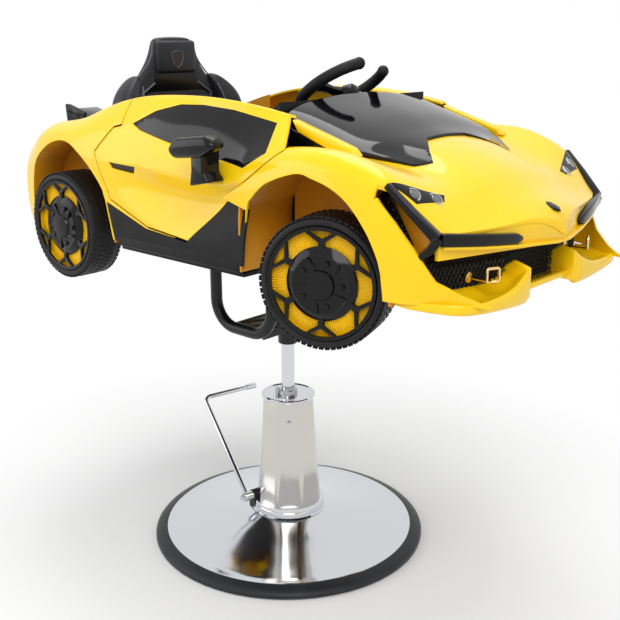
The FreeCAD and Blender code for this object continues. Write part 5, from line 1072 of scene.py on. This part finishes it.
def shape_tow_rings():
    rings = []
    for side in (-1, 1):
        turn = Matrix.Rotation(side * math.radians(26.5), 4, "Z")
        turn.translation = (0.591, side * 0.159, 0.721)
        corner, size = 0.0035, 0.011
        spots = []
        for index in range(4):
            mid = math.radians(45 + 90 * index)
            cx = math.copysign(size - corner, math.cos(mid))
            cz = math.copysign(size - corner, math.sin(mid))
            for step in range(5):
                a = math.radians(90 * index + 22.5 * step)
                spots.append(turn @ Vector((0, cx + corner * math.cos(a), cz + corner * math.sin(a))))
        rings.append(pipe("ring", spots, 0.0024, closed=True))
        foot = [turn @ Vector((0, 0, -size)), Vector((0.545, side * 0.159, 0.710))]
        rings.append(pipe("foot", foot, 0.0022))
        lay = Matrix.Rotation(math.pi / 2, 4, "Y")
        lay.translation = (0.5435, side * 0.159, 0.710)
        flange = lathe("flange", [(0, 0), (0.009, 0), (0.009, 0.005), (0, 0.005)], 32, lay)
        rings.append(soften(flange, 0.001))
    finish_piece(joined("tow_loops", rings), "car", "gold_plating", ["tow_rings"])


# Tail
def shape_tail():
    fins = []
    for side in (-1, 1):
        fins.append(soften(side_prism(rear_fin_shares, side, 0.112, 0.190), 0.003, 3))
        edge = [(x, z + 0.035) for x, z in rear_fin_shares]
        fins.append(soften(side_prism(edge, side, 0.183, 0.190), 0.002, 3))
    finish_piece(joined("rear_fin_pair", fins), "car", "gloss_black", ["rear_fins"])
    lamps = []
    low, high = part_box("tail_lights")
    for side in (-1, 1):
        y0, y1 = sorted((side * 0.150, side * 0.240))
        lamps.append(soften(box("lamp", (low.x, y0, low.z), (high.x, y1, high.z)), 0.003, 3))
        for index in range(3):
            y = side * (0.165 + 0.030 * index)
            lamps.append(soften(box("rib", (low.x - 0.0015, y - 0.009, low.z + 0.003),
                                    (low.x + 0.002, y + 0.009, high.z - 0.003)), 0.001))
    finish_piece(joined("tail_lamp_lenses", lamps), "car", "red_lens", ["tail_lights"])
    dress("rear_diffuser", "car", "grained_black", 0.0015)


# Seat and cockpit
def seat_plate_ring(z_share, half_share, ahead):
    """Level section of the back plate, with its middle flat."""
    face, rear = SEAT_FACE_X + HALF_L * ahead, SEAT_FACE_X - 0.026
    near = [(rear, 0.45), (rear, 0.90), ((face + rear) / 2, 1.0), (face, 0.96), (face, 0.50)]
    half = [spot_at(x, -half_share * y, z_share) for x, y in near]
    return half + [(x, -y, z) for x, y, z in reversed(half)]


def wing_front(ahead):
    return SEAT_FACE_X + HALF_L * WING_REACH * ahead


def seat_wing_ring(side, z_share, inner, outer, ahead):
    """Level section of one side wing."""
    rear, fore = SEAT_FACE_X - 0.024, wing_front(ahead)
    middle = (inner + outer) / 2
    points = [(rear, inner), (rear, outer * 0.97), ((rear + fore) / 2, outer), (fore - 0.006, outer * 0.985),
              (fore, middle + 0.03), (fore - 0.010, inner + 0.01), (SEAT_FACE_X, inner)]
    ring = [spot_at(x, side * y, z_share) for x, y in points]
    return ring if side < 0 else ring[::-1]


def facing_plate(name, outline, low, high):
    """Plate across the car between two places along it, from (across, up) points."""
    turn = Matrix(((0, 0, 1, low), (1, 0, 0, 0), (0, 1, 0, 0), (0, 0, 0, 1)))
    return slab(name, outline, high - low, turn)


def shape_seat(sizes):
    plate = smooth(rounded(loft("seat_back", [seat_plate_ring(*row) for row in seat_plate_shares]), 3), 60)
    wings = [smooth(rounded(loft("wing", [seat_wing_ring(side, *row) for row in seat_wing_shares]), 3), 60)
             for side in (-1, 1)]
    face = SEAT_FACE_X
    level = [SILL_Z + BODY_H * z for z in (0.30, 0.905, 1.065, 1.300)]
    head = box("head_pad", (face - 0.012, -0.056, level[2]), (face + 0.008, 0.056, level[3]))
    soften(head, 0.009, 4)
    middle = box("back_pad", (face - 0.010, -0.098, level[0]), (face + 0.009, 0.098, level[1]))
    soften(middle, 0.008, 4)
    top, front, rear = SILL_Z + 0.092, -0.090, -0.320
    outline = [(rear, SILL_Z), (front - 0.02, SILL_Z), (front, top - 0.02), (front - 0.012, top),
               (front - 0.04, top + 0.010), (-0.2, top + 0.004), (rear, top - 0.005)]
    lay = Matrix.Rotation(math.pi / 2, 4, "X")
    lay.translation = (0, 0.176, 0)
    cushion = soften(slab("cushion", outline, 0.352, lay), 0.016, 4)
    channels = []
    for index in range(4):
        y = -0.066 + 0.044 * index
        run = [(front - 0.015, y, top + 0.001), (-0.18, y, top + 0.006), (-0.28, y, top + 0.002)]
        channels.append(soften(bar_between(run, [0.040, 0.040, 0.036], 0.012), 0.0055, 3))
    padding = joined("seat_padding", [plate, head, middle, cushion] + wings + channels)
    trims = []
    for side in (-1, 1):
        bend = [spot_at(face + 0.002, side * y, z) for y, z in seat_slot_shares[1:4]]
        trims.append(pipe("chevron", bend, 0.0022))
        line = [spot_at(wing_front(ahead) - 0.008, side * (inner + 0.012), z)
                for z, inner, _, ahead in seat_wing_shares[:-1]]
        trims.append(pipe("piping", curve_through(line, 6), sizes.piping))
        edge = [spot_at(face - 0.004, side * (half + 0.003), z) for z, half, _ in seat_plate_shares[3:6]]
        trims.append(pipe("edge", curve_through(edge, 6), sizes.piping))
    middle_z = SILL_Z + BODY_H * 1.165
    shield = [(HALF_W * y, middle_z + HALF_W * z) for y, z in shield_shares]
    rim = pipe("rim", [(face + 0.0085, y, z) for y, z in shield], 0.0010, closed=True)
    badge = facing_plate("plate", shield, face + 0.006, face + 0.0087)
    slot = [(HALF_W * y, SILL_Z + BODY_H * z) for y, z in seat_slot_shares]
    slot = facing_plate("slot", slot, face - 0.006, face + 0.0015)
    piping = joined("piping", trims + [rim])
    whole = join_finished("seat_cover", [(padding, "seat_leather"), (piping, "grey_piping"),
                                         (badge, "bronze_black"), (slot, "gloss_black")])
    finish_piece(whole, "car", None, ["seat"])


def shape_cockpit():
    dress("dashboard", "car", "grained_black", 0.003)
    dials = []
    tilt = Vector(joints["steering"]["axis"]).normalized()
    low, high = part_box("gauge_dials")
    middle = (low + high) / 2
    for index in (-1, 0, 1):
        lay = tilt.to_track_quat("Z", "Y").to_matrix().to_4x4()
        lay.translation = Vector((middle.x, index * 0.035, middle.z)) - tilt * 0.003
        ring = [(0.011, 0), (0.015, 0), (0.015, 0.003), (0.0135, 0.0045), (0.012, 0.003), (0.011, 0.0025),
                (0.011, 0)]
        plate = [(0, 0), (0.0108, 0), (0.0108, 0.0015), (0, 0.0015)]
        dials.append((smooth(lathe("ring", ring, 48, lay)), "dial_face"))
        dials.append((smooth(lathe("face", plate, 48, lay)), "gloss_black"))
    finish_piece(join_finished("gauge_cluster", dials), "car", None, ["gauge_dials"])


def shape_steering():
    """Steering wheel with an open top, its ends shaped like horns."""
    joint = joints["steering"]
    up = Vector(joint["axis"]).normalized()
    centre = Vector(joint["pos_m"])
    across = Vector((0, 1, 0))
    fore = across.cross(up).normalized()
    turn = Matrix.Rotation(math.radians(STEERING_REST), 3, up)
    lay = (turn @ Matrix((fore, across, up)).transposed()).to_4x4()
    lay.translation = centre
    spots = [polar(GRIP_REACH, GRIP_END + (360 - 2 * GRIP_END) * step / 60) for step in range(61)]
    ring = pipe("rim", spots, GRIP_R, sides=6)
    ends = []
    for spot in (spots[0], spots[-1]):
        form = bmesh.new()
        bmesh.ops.create_uvsphere(form, u_segments=24, v_segments=16, radius=GRIP_R * 1.06,
                                  matrix=Matrix.Translation(spot))
        ends.append(smooth(mesh_object("end", form)))
    boss = smooth(lathe("boss", [(0, -0.030), (0.025, -0.030), (0.027, -0.026), (0.026, -0.016),
                                 (0.021, -0.008), (0.012, -0.0045), (0, -0.004)], 64))
    spokes = []
    for angle in (100, 180, -100):
        path = [polar(r, angle, z) for r, z in ((0.012, -0.016), (0.045, -0.010), (0.084, -0.001))]
        spokes.append(soften(bar_between(path, [0.024, 0.017, 0.022], [0.014, 0.009, 0.012]), 0.003, 3))
    wheel = join_finished("steering_wheel_grip", [(joined("rim", [ring] + ends), "grained_black"),
                                                  (joined("hub", [boss] + spokes), "gloss_black")])
    wheel.data.transform(lay)
    finish_piece(wheel, "steering", None, ["steering_wheel"])
    dress("steering_shaft", "steering", "plated_steel")
    dress("tie_rod", "steering_tie", "plated_steel")
    for _, name in SIDES:
        dress(f"knuckle_{name}", f"steer_{name}", "frame_paint")


# Wheels
def tyre_form(count):
    """Tyre with side blocks and a blocky tread, on the Z axis with its outer face at zero."""
    rim, wide = RIM_R, TYRE_W
    body = lathe("tyre", [(rim, -0.003), (0.0995, -0.0005), (0.103, 0.0), (0.1075, -0.003), (0.1105, -0.008),
                          (0.1118, -0.012), (0.1118, -wide + 0.012), (0.1105, -wide + 0.008),
                          (0.1075, -wide + 0.003), (0.103, -wide), (rim, -wide + 0.001), (rim, -0.003)], 96)
    smooth(body, 50)
    form = bmesh.new()
    for index in range(count):
        turn = Matrix.Rotation(2 * math.pi * index / count, 4, "Z")
        half = Matrix.Rotation(2 * math.pi * (index + 0.5) / count, 4, "Z")
        for spin, z, wide_z, radius, lean in (
                (turn, -0.0085, 0.011, 0.1090, 32), (turn, -wide + 0.0085, 0.011, 0.1090, -32),
                (half, -0.026, 0.013, 0.1115, 0), (turn, -0.0385, 0.006, 0.1115, 0),
                (half, -wide + 0.026, 0.013, 0.1115, 0)):
            place = spin @ Matrix.Translation((radius, 0, z)) @ Matrix.Rotation(math.radians(lean), 4, "Y")
            shape = place @ Matrix.Diagonal((0.0030, 0.0086, wide_z, 1.0))
            bmesh.ops.create_cube(form, size=1.0, matrix=shape)
    blocks = soften(mesh_object("tread", form), 0.0007, 1)
    return joined("tyre", [body, blocks])


def disc_form(count):
    """Dished wheel disc with fine radial ribs and an open barrel behind."""
    face = -0.014
    body = lathe("disc", [(0.008, face - 0.004), (0.0926, face - 0.004), (0.0926, -0.072), (0.0965, -0.073),
                          (0.0965, -0.004), (0.0926, -0.003), (0.0926, face), (0.060, face + 0.001),
                          (0.008, face + 0.001), (0.008, face - 0.004)], 96)
    smooth(body, 40)
    form = bmesh.new()
    for index in range(count):
        turn = Matrix.Rotation(2 * math.pi * index / count, 4, "Z")
        place = turn @ Matrix.Translation((0.0770, 0, face + 0.0018))
        shape = place @ Matrix.Diagonal((0.0300, 0.0017, 0.0032, 1.0))
        bmesh.ops.create_cube(form, size=1.0, matrix=shape)
    ribs = soften(mesh_object("ribs", form), 0.0005, 1)
    hub = smooth(lathe("hub", [(0.008, -0.077), (0.018, -0.077), (0.018, face - 0.003), (0.008, face - 0.003),
                               (0.008, -0.077)], 48))
    return joined("disc", [body, ribs, hub])


def cover_form():
    """Hub dome with six forked spokes and an outer ring."""
    face, rim = -0.010, RIM_R
    dome = lathe("dome", [(0.010, face), (0.0625, face), (0.0630, face + 0.003), (0.060, face + 0.0055),
                          (0.050, face + 0.0105), (0.046, face + 0.0085), (0.026, face + 0.0110),
                          (0.024, face + 0.0150), (0.012, face + 0.0165), (0.0, face + 0.0168)], 96)
    smooth(dome, 35)
    parts = [dome]
    for index in range(5):
        a = 2 * math.pi * index / 5
        form = bmesh.new()
        place = Matrix.Rotation(a, 4, "Z") @ Matrix.Translation((0.037, 0, face + 0.0105))
        bmesh.ops.create_cone(form, cap_ends=True, segments=6, radius1=0.0062, radius2=0.0048, depth=0.004,
                              matrix=place)
        parts.append(soften(mesh_object("lug", form), 0.0008))
        blade = bar_between([(0.026, 0, face + 0.010), (0.049, 0.010, face + 0.0105)], [0.007, 0.004], 0.004)
        blade.data.transform(Matrix.Rotation(a + math.radians(36), 4, "Z"))
        parts.append(soften(blade, 0.001))
    ring = lathe("ring", [(rim - 0.0072, -0.0065), (rim - 0.0072, -0.0010), (rim - 0.0050, 0.0),
                          (rim - 0.0005, -0.0002), (rim - 0.0002, -0.004), (rim - 0.0042, -0.0065),
                          (rim - 0.0072, -0.0065)], 96)
    parts.append(smooth(ring, 35))
    split = rim * 0.76
    for index in range(6):
        turn = 60 * index + 30
        stem = [polar(0.056, turn, face + 0.0035), polar(split + 0.001, turn, face + 0.0050)]
        parts.append(soften(bar_between(stem, [0.0105, 0.0110], [0.0075, 0.0070]), 0.0016, 2))
        for lean in (-17, 17):
            arm = [polar(split - 0.002, turn, face + 0.0050), polar(rim - 0.006, turn + lean, face + 0.0060)]
            parts.append(soften(bar_between(arm, [0.0080, 0.0055], [0.0070, 0.0060]), 0.0014, 2))
    return joined("cover", parts)


def wheel_matrix(name):
    """Place of a wheel's outer face, from its joints."""
    side = -1 if "right" in name else 1
    hub = Vector(joints[f"spin_{name}"]["pos_m"])
    axis = Vector(joints[f"spin_{name}"]["axis"]).normalized() * side
    reach = (WHEEL_FACE_Y - abs(hub.y)) / abs(axis.y)
    rise = Vector((0, 0, 1))
    lay = Matrix((rise.cross(axis), rise, axis)).transposed().to_4x4()
    lay.translation = hub + axis * reach
    return lay


def shape_wheels(sizes):
    forms = {"tyre": (tyre_form(sizes.tread_count), "tyre", "tyre_plastic"),
             "wheel_disc": (disc_form(sizes.rib_count), "yellow_body", "yellow_paint"),
             "wheel_cover": (cover_form(), "gloss_black", "gloss_black")}
    for place in ("front_right", "front_left", "rear_right", "rear_left"):
        lay = wheel_matrix(place)
        for part, (form, slot, finish) in forms.items():
            thing = copy_of(form)
            thing.name = f"{part}_{place}_finish"
            thing.data.transform(lay)
            finish_piece(thing, f"wheel_{place}", finish, [f"{part}_{place}"])
    for form, _, _ in forms.values():
        bpy.data.objects.remove(form)


# Base, pump and frame
def shape_base():
    rubber = lathe("base_edge", [(0.269, 0.0), (0.296, 0.0), (0.300, 0.003), (0.300, 0.009), (0.297, 0.013),
                                 (0.286, 0.0175), (0.277, 0.0200), (0.274, 0.0205), (0.2735, 0.014),
                                 (0.269, 0.014), (0.269, 0.0)], 160)
    finish_piece(smooth(rubber, 50), "base", "base_rubber", ["base_ring"])
    slope = curve_through([(0.2605, 0.0222), (0.215, 0.0268), (0.160, 0.0362), (0.115, 0.0475),
                           (0.079, 0.0580)], 4)
    profile = [(0.2740, 0.0170), (0.2740, 0.0212), (0.2725, 0.0222), (0.2640, 0.0222)] + slope
    under = [(r, z - 0.0025) for r, z in reversed(profile[3:])]
    disc = lathe("base_plate", profile + under + [(0.2705, 0.0170), (0.2740, 0.0170)], 160)
    finish_piece(smooth(disc, 25), "base", "chrome", ["base_disc"])
    collar = lathe("base_collar_ring", [
        (0.0735, 0.0800), (0.0765, 0.0795), (0.0780, 0.0770), (0.0785, 0.0725), (0.0775, 0.0712),
        (0.0785, 0.0700), (0.0795, 0.0640), (0.0800, 0.0600), (0.0830, 0.0578), (0.060, 0.0578),
        (0.060, 0.0800), (0.0735, 0.0800)], 128)
    finish_piece(smooth(collar, 25), "base", "chrome", ["base_collar"])
    dress("pump_cover", "base", "cover_steel", 0.0016)
    lid = lathe("pump_lid", [(0.0202, 0.3200), (0.0580, 0.3200), (0.0588, 0.3212), (0.0588, 0.3248),
                             (0.0572, 0.3266), (0.0545, 0.3268), (0.0530, 0.3252), (0.0202, 0.3250),
                             (0.0202, 0.3200)], 128)
    finish_piece(smooth(lid, 25), "base", "chrome", ["cover_cap"])
    dress("rod_gland", "base", "plated_steel")
    for node in ("pump_cylinder", "pedal_bracket"):
        dress(node, "base", "frame_paint")
    dress("base_bolts", "base", "plated_steel", 0.0006)
    dress("foot_pedal", "pedal", "rod_steel", 0)
    dress("pedal_shaft", "pedal", "plated_steel")
    dress("pump_plunger", "plunger", "plated_steel")


def shape_frame():
    dress("piston_rod", "lift", "rod_steel", 0)
    for node in ("swivel_hub", "support_plate", "support_tube_right", "support_tube_left"):
        dress(node, "car", "frame_paint", 0.001)
    dress("frame_bolts", "car", "plated_steel", 0.0005)
    dress("chassis_tub", "car", "grained_black", 0.0015)
    for node in ("axle_beam", "rear_axle"):
        dress(node, "car", "frame_paint")
    dress("door_hinge_pins", "car", "plated_steel", 0.0005)


# Stage
def plain_finish(name, color, roughness):
    """Pale surface that keeps the shadow, and that mirrors and glass see as plain white."""
    plain = Finish(name, color, roughness, specular_ior_level=0.0)
    reach = plain.node("ShaderNodeVectorMath", {"operation": "LENGTH"}, {0: plain.place}, "Value")
    away = (plain.ray("Camera") * reach.ramp(*FLOOR_FADE)).most(plain.ray("Glossy"))
    glow = plain.node("ShaderNodeEmission", {}, {})
    mixed = plain.node("ShaderNodeMixShader", {}, {0: away.most(plain.ray("Transmission")),
                                                   1: Field(plain, plain.shader.outputs[0]), 2: glow})
    plain.feed(plain.tree.nodes["Material Output"].inputs["Surface"], mixed)
    return plain.material


def build_stage():
    form = bmesh.new()
    bmesh.ops.create_circle(form, cap_ends=True, segments=96, radius=14.0)
    floor = mesh_object("studio_floor", form)
    floor.data.materials.append(plain_finish("floor_paint", (0.94, 0.94, 0.94), 0.7))
    scene = bpy.context.scene
    world = bpy.data.worlds.new("studio")
    world.use_nodes = True
    studio = Tree(world.node_tree)
    sky = studio.tree.nodes["Background"]
    sky.inputs["Color"].default_value = (1.0, 1.0, 1.0, 1.0)
    direct = studio.ray("Camera").most(studio.ray("Transmission")).most(studio.ray("Glossy"))
    studio.feed(sky.inputs["Strength"], direct.ramp(0.0, 1.0, SKY_LIGHT, 1.0))
    scene.world = world
    for name, spot, aim, power, size in (
            ("key_light", (1.6, -1.6, 2.6), (0.1, 0, 0.7), 42.0, 1.6),
            ("fill_light", (-1.8, -2.0, 1.5), (0, 0, 0.7), 18.0, 1.8),
            ("top_light", (-0.3, 0.4, 2.9), (0, 0, 0.8), 26.0, 1.5)):
        lamp = bpy.data.lights.new(name, "AREA")
        lamp.energy = power
        lamp.size = size
        light = bpy.data.objects.new(name, lamp)
        light.location = spot
        light.rotation_euler = (Vector(aim) - Vector(spot)).to_track_quat("-Z", "Y").to_euler()
        scene.collection.objects.link(light)
    camera = bpy.data.cameras.new("camera")
    camera.lens = FOCAL_PX / PICTURE_PX * SENSOR_MM
    camera.sensor_width = SENSOR_MM
    camera.clip_end = 60.0
    view = bpy.data.objects.new("camera", camera)
    around, over = math.radians(CAMERA_AROUND), math.radians(CAMERA_OVER)
    back = Vector((math.sin(around) * math.cos(over), -math.cos(around) * math.cos(over), math.sin(over)))
    view.location = CAMERA_SPOT
    view.rotation_euler = (-back).to_track_quat("-Z", "Y").to_euler()
    scene.collection.objects.link(view)
    scene.camera = view
    scene.view_settings.view_transform = "Standard"


# Add-on
class CARCHAIR_OT_finishes(bpy.types.Operator):
    """Make the materials of the chair"""

    bl_idname = "carchair.finishes"
    bl_label = "Finishes"

    def execute(self, context):
        mix_finishes(context.scene.car_chair_finish)
        return {"FINISHED"}


class CARCHAIR_OT_base(bpy.types.Operator):
    """Build the base, pump cover and pedal"""

    bl_idname = "carchair.base"
    bl_label = "Base and pump"

    def execute(self, context):
        shape_base()
        return {"FINISHED"}


class CARCHAIR_OT_frame(bpy.types.Operator):
    """Build the rod, the support frame and the tub"""

    bl_idname = "carchair.frame"
    bl_label = "Support frame"

    def execute(self, context):
        shape_frame()
        return {"FINISHED"}


class CARCHAIR_OT_panels(bpy.types.Operator):
    """Build the rear body, doors, windows and skirts"""

    bl_idname = "carchair.panels"
    bl_label = "Body and doors"

    def execute(self, context):
        shape_panels(context.scene.car_chair_sizes)
        shape_mirrors()
        shape_tail()
        return {"FINISHED"}


class CARCHAIR_OT_nose(bpy.types.Operator):
    """Build the front body, windscreen, lamps, grilles and splitter"""

    bl_idname = "carchair.nose"
    bl_label = "Nose and windscreen"

    def execute(self, context):
        shape_nose(context.scene.car_chair_sizes)
        shape_screen()
        shape_nose_fittings(context.scene.car_chair_sizes)
        return {"FINISHED"}


class CARCHAIR_OT_cockpit(bpy.types.Operator):
    """Build the seat, dashboard and steering"""

    bl_idname = "carchair.cockpit"
    bl_label = "Seat and steering"

    def execute(self, context):
        shape_seat(context.scene.car_chair_sizes)
        shape_cockpit()
        shape_steering()
        return {"FINISHED"}


class CARCHAIR_OT_wheels(bpy.types.Operator):
    """Build the tyres, wheel discs and spoked covers"""

    bl_idname = "carchair.wheels"
    bl_label = "Wheels"

    def execute(self, context):
        shape_wheels(context.scene.car_chair_sizes)
        return {"FINISHED"}


class CARCHAIR_OT_stage(bpy.types.Operator):
    """Set up the floor, lights and camera"""

    bl_idname = "carchair.stage"
    bl_label = "Studio"

    def execute(self, context):
        build_stage()
        return {"FINISHED"}


steps = (CARCHAIR_OT_finishes, CARCHAIR_OT_base, CARCHAIR_OT_frame, CARCHAIR_OT_panels, CARCHAIR_OT_nose,
         CARCHAIR_OT_cockpit, CARCHAIR_OT_wheels, CARCHAIR_OT_stage)


class CARCHAIR_PT_panel(bpy.types.Panel):
    """Lists the chair's settings and building steps"""

    bl_label = "Car chair"
    bl_idname = "CARCHAIR_PT_panel"
    bl_space_type = "VIEW_3D"
    bl_region_type = "UI"
    bl_category = "Car chair"

    def draw(self, context):
        for group in (context.scene.car_chair_finish, context.scene.car_chair_sizes):
            for name in group.__annotations__:
                self.layout.prop(group, name)
        for step in steps:
            self.layout.operator(step.bl_idname)


classes = (CarChairFinish, CarChairSizes) + steps + (CARCHAIR_PT_panel,)


def register():
    for item in classes:
        bpy.utils.register_class(item)
    bpy.types.Scene.car_chair_finish = bpy.props.PointerProperty(type=CarChairFinish)
    bpy.types.Scene.car_chair_sizes = bpy.props.PointerProperty(type=CarChairSizes)


def unregister():
    del bpy.types.Scene.car_chair_sizes
    del bpy.types.Scene.car_chair_finish
    for item in reversed(classes):
        bpy.utils.unregister_class(item)


def main():
    register()
    for step in steps:
        group, name = step.bl_idname.split(".")
        getattr(getattr(bpy.ops, group), name)()


if __name__ == "__main__":
    main()
